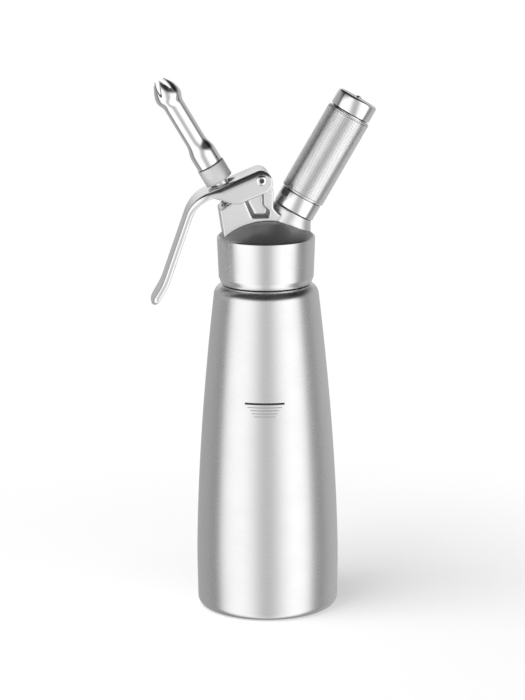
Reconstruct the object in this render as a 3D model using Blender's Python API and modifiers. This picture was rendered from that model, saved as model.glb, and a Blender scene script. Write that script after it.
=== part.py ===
"""Whipped cream dispenser: a steel bottle with a screw-on head, a squeeze lever and two raked arms.

Metres, +Z up. The origin is the centre of the bottle's base. Both arms lie in the XZ plane: the
nozzle arm leans to -X, the charger arm to +X, and their axes cross inside the head at the root.
A height along an arm is counted from that root.
"""
import math

import bmesh
import bpy
from mathutils import Vector

# Clearances shared by all pieces
GAP = 0.0003
OVERRUN = 0.004

# Bottle
BASE_RADIUS = 0.0387
BASE_CORNER = 0.0045
BASE_THICKNESS = 0.0014
BASE_PAD_RADIUS = 0.018
BASE_GROOVE_DEPTH = 0.0010
FOOT_WIDTH = 0.0045
BELLY_RADIUS = 0.03905
BELLY_HEIGHT = 0.026
SHOULDER_RADIUS = 0.0287
SHOULDER_HEIGHT = 0.1745
SHOULDER_RISE = 0.0069
NECK_RADIUS = 0.0206
NECK_ROOT_FILLET = 0.0009
NECK_LENGTH = 0.0192
BOTTLE_WALL = 0.0010
BELLY_POWER = 1.68

# Thread ring on the neck
THREAD_RING_WALL = 0.0014
THREAD_RING_LENGTH = 0.0135
THREAD_RING_DROP = 0.0020

# Cap, seen as a skirt with a dome
GASKET_THICKNESS = 0.0023
GASKET_WIDTH = 0.0046
CAP_HEIGHT = 0.0246
CAP_BOTTOM_RADIUS = 0.02585
CAP_RIM_RADIUS = 0.02665
CAP_LIP_WIDTH = 0.0008
CAP_LIP_ROUND = 0.0030
CAP_SEAT_INSET = 0.0054
CAP_CORE_DROP = 0.0006
DOME_RISE = 0.0112
RIM_EDGE = 0.0004
SPOT_RADIUS = 0.0078

# Arms: both rake from the same root inside the head
ARM_TILT = 30.4
ROOT_DROP = 0.0113
MIDDLE_CLEARANCE = 0.0002

# Casting
CASTING_SINK = 0.0036
CASTING_HALF = 0.0098
CASTING_EDGE = 0.0007
STEM_BOSS_TOP = 0.0370
STEM_BOSS_HALF = 0.0080
STEM_BOSS_INNER_HALF = 0.0066
STEM_BOSS_FOOT = 0.0226
CHARGER_BOSS_TOP = 0.0293
CHARGER_BOSS_RADIUS = 0.0114
CHARGER_BOSS_FOOT = 0.0243
POST_HUB_RADIUS = 0.0046
POST_RIGHT = 0.0067
POST_LEFT = 0.0069
POST_SHOULDER_DROP = 0.0062
POST_ROOT_DROP = 0.0158
POST_VALLEY_DROP = 0.0098
POCKET_DEPTH = 0.0034
POCKET_TOP_DROP = 0.0030
POCKET_FLOOR_DROP = 0.0208
POCKET_TOP_LEFT = 0.0088
POCKET_FLOOR_LEFT = 0.0036
POCKET_RIGHT = 0.0011
POCKET_FLOOR_RIGHT = 0.0032

# Lever, its pin and the bush in the post
PIN_OFFSET = 0.0035
PIN_RISE = 0.0328
PIN_RADIUS = 0.0020
PIN_HEAD_RADIUS = 0.0030
PIN_HEAD_HEIGHT = 0.0012
PIN_BORE_RADIUS = 0.0012
PIN_BORE_DEPTH = 0.0100
SCREW_SOCKET_WIDTH = 0.0022
SCREW_SOCKET_DEPTH = 0.0009
BUSH_WALL = 0.0008
PLATE_SLOPE = 22.4
PLATE_LIFT = 0.00504
PLATE_THICKNESS = 0.0020
CHEEK_THICKNESS = 0.0025
CHEEK_DROP = 0.0073
CHEEK_FULL_LENGTH = 0.0150
NOSE_REACH = 0.0056
PLATE_NOTCH = 0.0082
LEVER_TOP_ROUND = 0.0024
LEVER_EDGE_ROUND = 0.0008
THIN_ROUND_SHARES = (0.47, 0.30)
BEND_START = 0.0293
BEND_RADIUS = 0.0200
BEND_ANGLE = 48.1
HANDLE_LENGTH = 0.0370
HANDLE_THICKNESS = 0.0036
HANDLE_HALF_WIDTH = 0.0092
KICK_RADIUS = 0.0250
KICK_ANGLE = 11.0
KICK_LENGTH = 0.0110
LEVER_PRESS = 9.5

# Valve stem and what it carries
STEM_RADIUS = 0.0040
STEM_NECK_RADIUS = 0.0025
STEM_BORE_RADIUS = 0.0016
STEM_THREAD_RADIUS = 0.0035
STEM_THREAD_LENGTH = 0.0085
STEM_FOOT_DROP = 0.0003
STEM_GUIDE_RISE = 0.0035
STEM_PORT_RISE = 0.0018
STEM_PORT_RADIUS = 0.0009
O_RING_RADIUS = 0.0037
O_RING_WIRE = 0.00042
O_RING_RISE = 0.0064
O_RING_GROOVE_HALF = 0.0009
O_RING_GROOVE_RADIUS = 0.0029
SEAL_RADIUS = 0.0062
SEAL_THICKNESS = 0.0025
SEAL_NUT_RADIUS = 0.0042
SEAL_NUT_HEIGHT = 0.0034
CHAMBER_FLOOR = 0.0264
CHAMBER_RADIUS = 0.0062
COLLAR_RADIUS = 0.0067
COLLAR_RIM = 0.0010
COLLAR_DOME_RADIUS = 0.0090
SPRING_RADIUS = 0.00525
SPRING_WIRE = 0.00055
SPRING_TURNS = 6.5

# Nozzle arm above the lever
ADAPTER_START = 0.0497
ADAPTER_LENGTH = 0.0096
ADAPTER_RADIUS = 0.00768
ADAPTER_EDGE = 0.0004
ADAPTER_SPIGOT_RADIUS = 0.0048
ADAPTER_SPIGOT_LENGTH = 0.0066
ADAPTER_BORE_RADIUS = 0.0030
NOZZLE_RING_WIRE = 0.00042
NOZZLE_RECESS = 0.0016
NOZZLE_SEAM = 0.0005
NOZZLE_LENGTH = 0.0530
NOZZLE_BASE_RADIUS = 0.0072
NOZZLE_BASE_LENGTH = 0.0084
NOZZLE_CONE_LENGTH = 0.0050
NOZZLE_TUBE_RADIUS = 0.0056
NOZZLE_BULB_RADIUS = 0.00725
NOZZLE_TIP_RADIUS = 0.0032
NOZZLE_BULB_LENGTH = 0.0156
NOZZLE_CROWN_LENGTH = 0.0100
NOZZLE_WALL = 0.0010
PETALS = 6
PETAL_GAP_LENGTH = 0.0077
PETAL_GAP_ROOT_HALF = 0.0006
PETAL_GAP_MID_HALF = 0.0013
PETAL_GAP_TIP_HALF = 0.0016

# Charger arm
INLET_STUB_RADIUS = 0.0050
INLET_STUB_LENGTH = 0.0070
INLET_THREAD_RADIUS = 0.0096
INLET_THREAD_LENGTH = 0.0097
INLET_FLOOR = 0.0006
CHARGER_NECK_RADIUS = 0.0044
CHARGER_NECK_LENGTH = 0.0087
CHARGER_RADIUS = 0.0089
CHARGER_LENGTH = 0.0650
CHARGER_SHOULDER = 0.0075
CHARGER_WALL = 0.0013
CHARGER_HOLE_RADIUS = 0.0014
CHARGER_SEAL_THICKNESS = 0.0012
PIERCING_PIN_RADIUS = 0.0010
PIERCING_PIN_REACH = 0.0030
PIERCING_PIN_HEAD_RADIUS = 0.0021
PIERCING_PIN_HEAD_HEIGHT = 0.0014
PIERCING_BORE_RADIUS = 0.0004
PASSAGE_RADIUS = 0.0016
CHECK_SCREW_RADIUS = 0.0027
CHECK_SCREW_LENGTH = 0.0055
CHECK_SCREW_HEAD_RADIUS = 0.0044
CHECK_SCREW_HEAD_HEIGHT = 0.0031
CHECK_STUB_RADIUS = 0.0021
CHECK_SLEEVE_WALL = 0.0011
HOLDER_START = 0.0297
HOLDER_RING_LENGTH = 0.0090
HOLDER_RING_RADIUS = 0.0116
HOLDER_EDGE = 0.0005
HOLDER_TUBE_RADIUS = 0.0109
HOLDER_THREAD_DEPTH = 0.0113
GRIP_RADIUS = 0.0122
GRIP_LENGTH = 0.0502
GRIP_SEAM = 0.0007
GRIP_EDGE = 0.0007
CAP_SEAM = 0.0010
END_CAP_RADIUS = 0.0114
END_CAP_FACE = 0.0023
END_CAP_THREAD_DEPTH = 0.0044
END_CAP_THREAD_STEP = 0.0010
BUTTON_RADIUS = 0.0016
BUTTON_HEIGHT = 0.0009
BUTTON_STEM_RADIUS = 0.0009

# Facets
WIDE_STEPS = 36
ROUND_STEPS = 24
SMALL_STEPS = 16
PETAL_STEPS = 24
SPRING_STEPS = 8
OUTER_BELLY_POINTS = 7
INNER_BELLY_POINTS = 4

# Heights that follow from the sizes above
SHOULDER_TOP = SHOULDER_HEIGHT + SHOULDER_RISE
NECK_TOP = SHOULDER_TOP + NECK_LENGTH
GASKET_BOTTOM = NECK_TOP + GAP
CAP_SEAT = GASKET_BOTTOM + GASKET_THICKNESS + GAP
THREAD_RING_RADIUS = NECK_RADIUS + GAP + THREAD_RING_WALL
CAP_INNER_RADIUS = THREAD_RING_RADIUS + GAP
CAP_BOTTOM = SHOULDER_TOP + 2 * GAP
RIM_HEIGHT = CAP_BOTTOM + CAP_HEIGHT
DOME_RADIUS = (CAP_RIM_RADIUS ** 2 + DOME_RISE ** 2) / (2 * DOME_RISE)
DOME_CENTRE = RIM_HEIGHT + DOME_RISE - DOME_RADIUS
ROOT_HEIGHT = RIM_HEIGHT - ROOT_DROP
PIN_HEIGHT = RIM_HEIGHT + PIN_RISE
TILT = math.radians(ARM_TILT)
SLOPE = math.radians(PLATE_SLOPE)
LEVER_HALF_WIDTH = CASTING_HALF + GAP + CHEEK_THICKNESS
PLATE_UNDERSIDE = PLATE_LIFT - PLATE_THICKNESS
SEAL_NUT_BOTTOM = (SEAL_NUT_RADIUS * math.cos(TILT) + MIDDLE_CLEARANCE) / math.sin(TILT)
SEAT_HEIGHT = SEAL_NUT_BOTTOM + SEAL_NUT_HEIGHT + SEAL_THICKNESS + 2 * GAP
CHECK_SLEEVE_RADIUS = CHECK_STUB_RADIUS + GAP + CHECK_SLEEVE_WALL
CHECK_STUB_BOTTOM = (CHECK_SLEEVE_RADIUS * math.cos(TILT) + MIDDLE_CLEARANCE) / math.sin(TILT)
SEAL_TOP = SEAT_HEIGHT - GAP
SEAL_BOTTOM = SEAL_TOP - SEAL_THICKNESS
SEAL_NUT_TOP = SEAL_BOTTOM - GAP
STEM_FOOT = SEAL_NUT_BOTTOM - STEM_FOOT_DROP
STEM_PORT_HEIGHT = SEAT_HEIGHT + STEM_PORT_RISE
STEM_GUIDE_START = SEAT_HEIGHT + STEM_GUIDE_RISE
O_RING_HEIGHT = SEAT_HEIGHT + O_RING_RISE
ADAPTER_TOP = ADAPTER_START + ADAPTER_LENGTH
NOZZLE_START = ADAPTER_TOP + NOZZLE_SEAM
NOZZLE_BULB_START = NOZZLE_LENGTH - NOZZLE_BULB_LENGTH
NOZZLE_BULB_WIDEST = NOZZLE_LENGTH - NOZZLE_CROWN_LENGTH
PETAL_GAP_START = NOZZLE_LENGTH - PETAL_GAP_LENGTH
INLET_START = CHARGER_BOSS_TOP + GAP
CHARGER_SEAL_START = INLET_START + INLET_FLOOR + GAP
CHARGER_START = CHARGER_SEAL_START + CHARGER_SEAL_THICKNESS + GAP
CHARGER_END = CHARGER_START + CHARGER_LENGTH
HOLDER_BORE_RADIUS = CHARGER_RADIUS + GAP
GRIP_START = HOLDER_START + HOLDER_RING_LENGTH + GRIP_SEAM
END_CAP_START = GRIP_START + GRIP_LENGTH + CAP_SEAM
END_CAP_TOP = CHARGER_END + GAP + END_CAP_FACE

# Finishes: colour, roughness, metallic
FINISHES = {
    "brushed_steel": ((0.66, 0.66, 0.67), 0.34, 1.0),
    "polished_steel": ((0.80, 0.80, 0.81), 0.10, 1.0),
    "satin_casting": ((0.72, 0.72, 0.72), 0.45, 1.0),
    "spring_steel": ((0.55, 0.55, 0.56), 0.28, 1.0),
    "zinced_charger": ((0.60, 0.61, 0.62), 0.30, 1.0),
    "pale_silicone": ((0.80, 0.79, 0.76), 0.60, 0.0),
    "black_rubber": ((0.03, 0.03, 0.03), 0.65, 0.0),
    "white_bush": ((0.86, 0.86, 0.84), 0.50, 0.0),
}


def clear_scene():
    for thing in list(bpy.data.objects):
        bpy.data.objects.remove(thing, do_unlink=True)


def new_collection(name):
    group = bpy.data.collections.new(name)
    bpy.context.scene.collection.children.link(group)
    return group


def make_finishes():
    made = {}
    for name, (colour, roughness, metallic) in FINISHES.items():
        finish = bpy.data.materials.new(name)
        finish.use_nodes = True
        shader = finish.node_tree.nodes["Principled BSDF"]
        shader.inputs["Base Color"].default_value = (*colour, 1.0)
        shader.inputs["Roughness"].default_value = roughness
        shader.inputs["Metallic"].default_value = metallic
        made[name] = finish
    return made


clear_scene()
PARTS = new_collection("whipped_cream_dispenser")
CUTTERS = new_collection("cutters")
FINISH = make_finishes()


def add_empty(name, place, turn=0.0):
    """An empty at place, turned by an angle about Y."""
    empty = bpy.data.objects.new(name, None)
    empty.location = place
    empty.rotation_euler = (0.0, turn, 0.0)
    PARTS.objects.link(empty)
    return empty


HEAD_FRAME = add_empty("head_frame", (0.0, 0.0, 0.0))
NOZZLE_ARM = add_empty("nozzle_arm", (0.0, 0.0, ROOT_HEIGHT), -TILT)
CHARGER_ARM = add_empty("charger_arm", (0.0, 0.0, ROOT_HEIGHT), TILT)
LEVER_PIVOT = add_empty("lever_pivot", (-PIN_OFFSET, 0.0, PIN_HEIGHT))


def add_object(name, mesh, finish=None, frame=HEAD_FRAME):
    """A part with a finish, or a cutter when the finish is left out."""
    thing = bpy.data.objects.new(name, mesh)
    thing.parent = frame
    if finish is None:
        CUTTERS.objects.link(thing)
        thing.hide_render = True
        thing.display_type = "WIRE"
    else:
        PARTS.objects.link(thing)
        mesh.materials.append(FINISH[finish])
    return thing


def turned(name, profile, finish=None, frame=HEAD_FRAME, steps=SMALL_STEPS):
    """A turned piece about the frame's Z axis. The profile is (radius, height) points: from an inner
    start it climbs the inside, then runs down the outside. Ends on the axis stay open, others join."""
    mesh = bpy.data.meshes.new(name)
    on_axis = profile[0][0] == 0.0
    points = [(radius, 0.0, height) for radius, height in profile]
    edges = [(i, i + 1) for i in range(len(points) - 1)]
    if not on_axis:
        edges.append((len(points) - 1, 0))
    mesh.from_pydata(points, edges, [])
    thing = add_object(name, mesh, finish, frame)
    screw = thing.modifiers.new("turn", "SCREW")
    screw.axis = "Z"
    screw.angle = math.tau
    screw.steps = steps
    screw.render_steps = steps
    screw.use_merge_vertices = True
    screw.merge_threshold = GAP / 30
    screw.use_smooth_shade = True
    return thing


def rod(name, radius, low, high, finish=None, frame=HEAD_FRAME, steps=SMALL_STEPS):
    """A plain solid cylinder along the frame's Z axis, from low to high."""
    mesh = bpy.data.meshes.new(name)
    shape = bmesh.new()
    bmesh.ops.create_cone(shape, cap_ends=True, segments=steps, radius1=radius, radius2=radius,
                          depth=high - low)
    bmesh.ops.translate(shape, verts=shape.verts, vec=(0.0, 0.0, (low + high) / 2))
    shape.to_mesh(mesh)
    shape.free()
    return add_object(name, mesh, finish, frame)


def slab(name, outline, half, finish=None, frame=HEAD_FRAME):
    """An outline of (x, z) points pulled to half a thickness on both sides of the XZ plane."""
    mesh = bpy.data.meshes.new(name)
    shape = bmesh.new()
    face = shape.faces.new([shape.verts.new((x, -half, z)) for x, z in outline])
    pulled = bmesh.ops.extrude_face_region(shape, geom=[face])
    moved = [item for item in pulled["geom"] if isinstance(item, bmesh.types.BMVert)]
    bmesh.ops.translate(shape, verts=moved, vec=(0.0, 2 * half, 0.0))
    bmesh.ops.recalc_face_normals(shape, faces=shape.faces)
    shape.to_mesh(mesh)
    shape.free()
    return add_object(name, mesh, finish, frame)


def combine(thing, tool, operation="DIFFERENCE"):
    """A Boolean of the thing with one cutter or one piece to join."""
    step = thing.modifiers.new(tool.name, "BOOLEAN")
    step.object = tool
    step.operation = operation
    step.solver = "EXACT"


def round_edges(thing, width, segments=1):
    bevel = thing.modifiers.new("edges", "BEVEL")
    bevel.width = width
    bevel.segments = segments
    bevel.limit_method = "ANGLE"
    bevel.angle_limit = math.radians(30)


def arc(centre, radius, start, end, count):
    """Points on a circle round centre from one angle to another, in degrees."""
    points = []
    for i in range(count + 1):
        angle = math.radians(start + (end - start) * i / count)
        points.append((centre[0] + radius * math.cos(angle), centre[1] + radius * math.sin(angle)))
    return points


def chamfered_ring(inner, outer, low, high, edge):
    """The profile of a ring whose two outer edges are broken."""
    return [(inner, low), (inner, high), (outer - edge, high), (outer, high - edge),
            (outer, low + edge), (outer - edge, low)]


def arm_point(side, height, across):
    """World X and Z of a point on an arm: side is -1 for the nozzle arm and 1 for the charger arm."""
    x = side * (height * math.sin(TILT) + across * math.cos(TILT))
    return x, ROOT_HEIGHT + height * math.cos(TILT) - across * math.sin(TILT)


# Bottle side

def belly_radius(height):
    """The wall swells below and draws in towards the shoulder by a power law."""
    share = (height - BELLY_HEIGHT) / (SHOULDER_HEIGHT - BELLY_HEIGHT)
    return BELLY_RADIUS - (BELLY_RADIUS - SHOULDER_RADIUS) * max(share, 0.0) ** BELLY_POWER


def bottle_side(inset, shoulder_angles, belly_points):
    """The side wall from the neck root down to the base corner, moved inwards by inset."""
    root = NECK_RADIUS + NECK_ROOT_FILLET
    points = []
    for angle in shoulder_angles:
        turn = math.radians(angle)
        points.append((root + (SHOULDER_RADIUS - root - inset) * math.cos(turn),
                       SHOULDER_HEIGHT + (SHOULDER_RISE - inset) * math.sin(turn)))
    for i in range(belly_points + 1):
        height = SHOULDER_HEIGHT + (BELLY_HEIGHT - SHOULDER_HEIGHT) * i / belly_points
        points.append((belly_radius(height) - inset, height))
    return points


def make_bottle():
    foot = BASE_RADIUS - BASE_CORNER
    inner_corner = BASE_CORNER - BOTTLE_WALL
    floor = BASE_GROOVE_DEPTH + BASE_THICKNESS
    inside = [(0.0, floor)]
    inside += arc((foot, floor + inner_corner), inner_corner, -90, 0, 2)
    inside += reversed(bottle_side(BOTTLE_WALL, (90, 45), INNER_BELLY_POINTS))
    inside.append((NECK_RADIUS - BOTTLE_WALL, SHOULDER_TOP - BOTTLE_WALL + NECK_ROOT_FILLET))
    inside.append((NECK_RADIUS - BOTTLE_WALL, NECK_TOP))
    outside = [(NECK_RADIUS, NECK_TOP), (NECK_RADIUS, SHOULDER_TOP + NECK_ROOT_FILLET)]
    outside += bottle_side(0.0, (90, 70, 50, 30, 12), OUTER_BELLY_POINTS)
    outside += arc((foot, BASE_CORNER), BASE_CORNER, 0, -90, 4)
    groove_outer = foot - FOOT_WIDTH
    outside += [(groove_outer, 0.0), (groove_outer - BASE_GROOVE_DEPTH, BASE_GROOVE_DEPTH),
                (BASE_PAD_RADIUS + BASE_GROOVE_DEPTH, BASE_GROOVE_DEPTH), (BASE_PAD_RADIUS, 0.0),
                (0.0, 0.0)]
    turned("bottle_body", inside + outside, "brushed_steel", steps=WIDE_STEPS)

    ring_top = NECK_TOP - THREAD_RING_DROP
    turned("neck_thread_ring",
           chamfered_ring(NECK_RADIUS + GAP, THREAD_RING_RADIUS, ring_top - THREAD_RING_LENGTH, ring_top,
                          THREAD_RING_WALL / 3),
           "brushed_steel", steps=WIDE_STEPS)


def make_cap():
    gasket_outer = CAP_INNER_RADIUS - GAP
    turned("head_gasket",
           chamfered_ring(gasket_outer - GASKET_WIDTH, gasket_outer, GASKET_BOTTOM,
                          GASKET_BOTTOM + GASKET_THICKNESS, GASKET_THICKNESS / 6),
           "pale_silicone", steps=WIDE_STEPS)

    core = CAP_INNER_RADIUS - CAP_SEAT_INSET
    core_low = CAP_SEAT - CAP_CORE_DROP
    inside = [(0.0, core_low), (core, core_low), (core, CAP_SEAT), (CAP_INNER_RADIUS, CAP_SEAT),
              (CAP_INNER_RADIUS, CAP_BOTTOM)]
    lip = CAP_INNER_RADIUS + CAP_LIP_WIDTH
    round_width = CAP_BOTTOM_RADIUS - lip
    side = []
    for angle in (-90, -70, -50, -25):
        turn = math.radians(angle)
        side.append((lip + round_width * math.cos(turn),
                     CAP_BOTTOM + CAP_LIP_ROUND * (1 + math.sin(turn))))
    side += [(CAP_BOTTOM_RADIUS, CAP_BOTTOM + CAP_LIP_ROUND), (CAP_RIM_RADIUS, RIM_HEIGHT - RIM_EDGE)]
    profile = inside + side + dome_profile(CAP_RIM_RADIUS - RIM_EDGE, DOME_RADIUS, 6)
    cap = turned("head_cap", list(reversed(profile)), "brushed_steel", steps=WIDE_STEPS)

    stub_floor = INLET_START - INLET_STUB_LENGTH - GAP
    below = SEAT_HEIGHT - OVERRUN
    for arm_name, arm in (("nozzle", NOZZLE_ARM), ("charger", CHARGER_ARM)):
        combine(cap, rod(f"{arm_name}_spot_face", SPOT_RADIUS, -ROOT_DROP, SEAT_HEIGHT, frame=arm,
                         steps=ROUND_STEPS))
    combine(cap, rod("cap_stem_bore", STEM_RADIUS + GAP, below, CHAMBER_FLOOR + OVERRUN, frame=NOZZLE_ARM))
    combine(cap, rod("cap_inlet_bore", INLET_STUB_RADIUS + GAP, stub_floor, CHARGER_BOSS_TOP + OVERRUN,
                     frame=CHARGER_ARM, steps=ROUND_STEPS))
    combine(cap, rod("gas_passage", PASSAGE_RADIUS, below, stub_floor + OVERRUN, frame=CHARGER_ARM))
    combine(cap, rod("check_bore", CHECK_SCREW_RADIUS + GAP, below, SEAT_HEIGHT + CHECK_SCREW_LENGTH + GAP,
                     frame=CHARGER_ARM))


def dome_profile(rim, sphere, count):
    """The dome's arc from its rim up to the axis."""
    points = []
    for i in range(count + 1):
        radius = rim * (1 - i / count)
        points.append((radius, dome_height(radius, sphere)))
    return points


def dome_height(radius, sphere):
    return DOME_CENTRE + math.sqrt(sphere ** 2 - radius ** 2)


# Casting

def casting_outline():
    """The side outline of the casting, from its left foot over the post to its right foot."""
    low = RIM_HEIGHT - CASTING_SINK
    pin_x = -PIN_OFFSET
    left_post = pin_x - POST_LEFT
    right_post = pin_x + POST_RIGHT
    boss_corner = arm_point(1, CHARGER_BOSS_TOP, CHARGER_BOSS_RADIUS)
    boss_middle = arm_point(1, CHARGER_BOSS_TOP, 0.0)
    outline = [(-STEM_BOSS_FOOT, low), arm_point(-1, STEM_BOSS_TOP, STEM_BOSS_HALF),
               arm_point(-1, STEM_BOSS_TOP, -STEM_BOSS_INNER_HALF),
               (left_post, PIN_HEIGHT - POST_VALLEY_DROP)]
    outline += arc((pin_x, PIN_HEIGHT), POST_HUB_RADIUS, 180, 0, 10)
    outline += [(right_post, PIN_HEIGHT - POST_SHOULDER_DROP), (right_post, PIN_HEIGHT - POST_ROOT_DROP),
                (boss_middle[0] - CHARGER_BOSS_RADIUS, PIN_HEIGHT - POST_ROOT_DROP - POST_SHOULDER_DROP / 3),
                (boss_middle[0], boss_middle[1] - GAP), (boss_corner[0], boss_corner[1] - GAP),
                (CHARGER_BOSS_FOOT, low)]
    return outline


def make_casting():
    casting = slab("head_casting", casting_outline(), CASTING_HALF, "satin_casting")
    round_edges(casting, CASTING_EDGE, 2)

    boss = rod("charger_boss", CHARGER_BOSS_RADIUS, SEAT_HEIGHT, CHARGER_BOSS_TOP,
               frame=CHARGER_ARM, steps=ROUND_STEPS)
    combine(casting, boss, "UNION")
    seat_rim = CAP_RIM_RADIUS + OVERRUN
    seat_low = RIM_HEIGHT - CASTING_SINK - OVERRUN
    seat = turned("dome_clearance", list(reversed([(0.0, seat_low), (seat_rim, seat_low)]
                                                  + dome_profile(seat_rim, DOME_RADIUS + GAP, 8))),
                  steps=WIDE_STEPS)
    stem_bore = rod("stem_bore", STEM_RADIUS + GAP, SEAT_HEIGHT, CHAMBER_FLOOR + OVERRUN, frame=NOZZLE_ARM)
    chamber = rod("spring_chamber", CHAMBER_RADIUS, CHAMBER_FLOOR, STEM_BOSS_TOP + OVERRUN,
                  frame=NOZZLE_ARM, steps=ROUND_STEPS)
    inlet_bore = rod("inlet_bore", INLET_STUB_RADIUS + GAP, SEAT_HEIGHT, CHARGER_BOSS_TOP + OVERRUN,
                     frame=CHARGER_ARM, steps=ROUND_STEPS)
    for cutter in (seat, stem_bore, chamber, inlet_bore):
        combine(casting, cutter)

    bush_bore = rod("bush_bore", PIN_RADIUS + GAP + BUSH_WALL + GAP, -CASTING_HALF - OVERRUN,
                    CASTING_HALF + OVERRUN, frame=LEVER_PIVOT)
    bush_bore.rotation_euler = (math.pi / 2, 0.0, 0.0)
    combine(casting, bush_bore)

    pin_x = -PIN_OFFSET
    pocket_outline = [(pin_x - POCKET_TOP_LEFT, PIN_HEIGHT - POCKET_TOP_DROP - POST_HUB_RADIUS),
                      (pin_x + POCKET_RIGHT, PIN_HEIGHT - POCKET_TOP_DROP - POST_HUB_RADIUS),
                      (pin_x + POCKET_FLOOR_RIGHT, PIN_HEIGHT - POST_ROOT_DROP),
                      (pin_x + POCKET_FLOOR_RIGHT - POCKET_RIGHT, PIN_HEIGHT - POCKET_FLOOR_DROP),
                      (pin_x - POCKET_FLOOR_LEFT, PIN_HEIGHT - POCKET_FLOOR_DROP)]
    for side, side_name in ((-1, "front"), (1, "rear")):
        pocket = slab(f"{side_name}_pocket", pocket_outline, POCKET_DEPTH)
        pocket.location.y = side * CASTING_HALF
        round_edges(pocket, CASTING_EDGE)
        combine(casting, pocket)


# Lever

def to_world_xz(along, up):
    """From the lever's own axes, along the plate and square to it, to X and Z round the pin."""
    return (-along * math.cos(SLOPE) - up * math.sin(SLOPE),
            -along * math.sin(SLOPE) + up * math.cos(SLOPE))


def cheek_bottom(along):
    """How low the cheeks reach: full depth by the post, then fading out into the handle."""
    fade = (along - CHEEK_FULL_LENGTH) / (BEND_START - CHEEK_FULL_LENGTH)
    fade = min(max(fade, 0.0), 1.0)
    smooth = fade * fade * (3 - 2 * fade)
    return -CHEEK_DROP + (PLATE_LIFT - HANDLE_THICKNESS + CHEEK_DROP) * smooth


def half_width(share):
    """Half the lever's width, easing from the head's to the handle's over the bend."""
    smooth = min(max(share, 0.0), 1.0)
    smooth = smooth * smooth * (3 - 2 * smooth)
    return LEVER_HALF_WIDTH + (HANDLE_HALF_WIDTH - LEVER_HALF_WIDTH) * smooth


def lever_stations():
    """Cross-sections from the nose to the handle's end: top point, bottom point and half width, with
    both points in the lever's own axes."""
    stations = []
    middle = (PLATE_LIFT - CHEEK_DROP) / 2
    half_height = (PLATE_LIFT + CHEEK_DROP) / 2
    for angle in (14, 30, 47, 66, 90):
        turn = math.radians(angle)
        along = -NOSE_REACH * math.cos(turn)
        reach = half_height * math.sin(turn)
        stations.append(((along, middle + reach), (along, middle - reach), LEVER_HALF_WIDTH))
    for i in range(1, 8):
        along = BEND_START * i / 8
        stations.append(((along, PLATE_LIFT), (along, cheek_bottom(along)), LEVER_HALF_WIDTH))

    def add(point, heading, width, thickness=HANDLE_THICKNESS):
        inward = (-math.sin(heading) * thickness, -math.cos(heading) * thickness)
        centre_shift = (HANDLE_THICKNESS - thickness) / 2
        top = (point[0] - math.sin(heading) * centre_shift, point[1] - math.cos(heading) * centre_shift)
        stations.append((top, (top[0] + inward[0], top[1] + inward[1]), width))

    bend = math.radians(BEND_ANGLE)
    for i in range(7):
        heading = bend * i / 6
        point = (BEND_START + BEND_RADIUS * math.sin(heading),
                 PLATE_LIFT - BEND_RADIUS * (1 - math.cos(heading)))
        add(point, heading, half_width(i / 6))
    for _ in range(2):
        point = step_along(point, bend, HANDLE_LENGTH / 2)
        add(point, bend, HANDLE_HALF_WIDTH)
    kick = math.radians(KICK_ANGLE)
    heading = bend
    for _ in range(3):
        heading -= kick / 3
        point = step_along(point, heading + kick / 6, KICK_RADIUS * kick / 3)
        add(point, heading, HANDLE_HALF_WIDTH)
    straight = KICK_LENGTH - HANDLE_HALF_WIDTH / 2
    point = step_along(point, heading, straight)
    add(point, heading, HANDLE_HALF_WIDTH)
    start = point
    for angle in (30, 55, 74, 86):
        turn = math.radians(angle)
        point = step_along(start, heading, math.sin(turn) * HANDLE_HALF_WIDTH / 2)
        width = HANDLE_HALF_WIDTH * (1 + 2 * math.cos(turn)) / 3
        add(point, heading, width, HANDLE_THICKNESS * (1 + 3 * math.cos(turn)) / 4)
    return stations


def step_along(point, heading, distance):
    return point[0] + distance * math.cos(heading), point[1] - distance * math.sin(heading)


def lever_ring(top, bottom, width):
    """One cross-section: a rectangle with round upper corners and lightly broken lower ones."""
    height = math.dist(top, bottom)
    upper = min(LEVER_TOP_ROUND, THIN_ROUND_SHARES[0] * height)
    lower = min(LEVER_EDGE_ROUND, THIN_ROUND_SHARES[1] * height)
    flat = [(width - upper + upper * math.sin(a), height - upper + upper * math.cos(a))
            for a in (0.0, math.pi / 6, math.pi / 3, math.pi / 2)]
    flat += [(width, lower), (width - lower, 0.0)]
    flat += [(-y, z) for y, z in reversed(flat)]
    ring = []
    for y, lift in flat:
        share = lift / height
        along = bottom[0] + (top[0] - bottom[0]) * share
        up = bottom[1] + (top[1] - bottom[1]) * share
        x, z = to_world_xz(along, up)
        ring.append((x, y, z))
    return ring


def loft(name, rings, finish, frame):
    """A closed skin through rings that all have the same number of points."""
    mesh = bpy.data.meshes.new(name)
    shape = bmesh.new()
    rows = [[shape.verts.new(point) for point in ring] for ring in rings]
    count = len(rows[0])
    for row, following in zip(rows, rows[1:]):
        for i in range(count):
            shape.faces.new((row[i], row[(i + 1) % count], following[(i + 1) % count], following[i]))
    shape.faces.new(rows[0])
    shape.faces.new(list(reversed(rows[-1])))
    bmesh.ops.recalc_face_normals(shape, faces=shape.faces)
    shape.to_mesh(mesh)
    shape.free()
    return add_object(name, mesh, finish, frame)


def stem_in_lever(height, press):
    """Where a point of the stem's axis lies in the lever's own axes, with the lever pressed by an angle."""
    x, z = arm_point(-1, height, 0.0)
    right, up = x + PIN_OFFSET, z - PIN_HEIGHT
    angle = SLOPE + press
    return (-right * math.cos(angle) - up * math.sin(angle),
            -right * math.sin(angle) + up * math.cos(angle))


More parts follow.
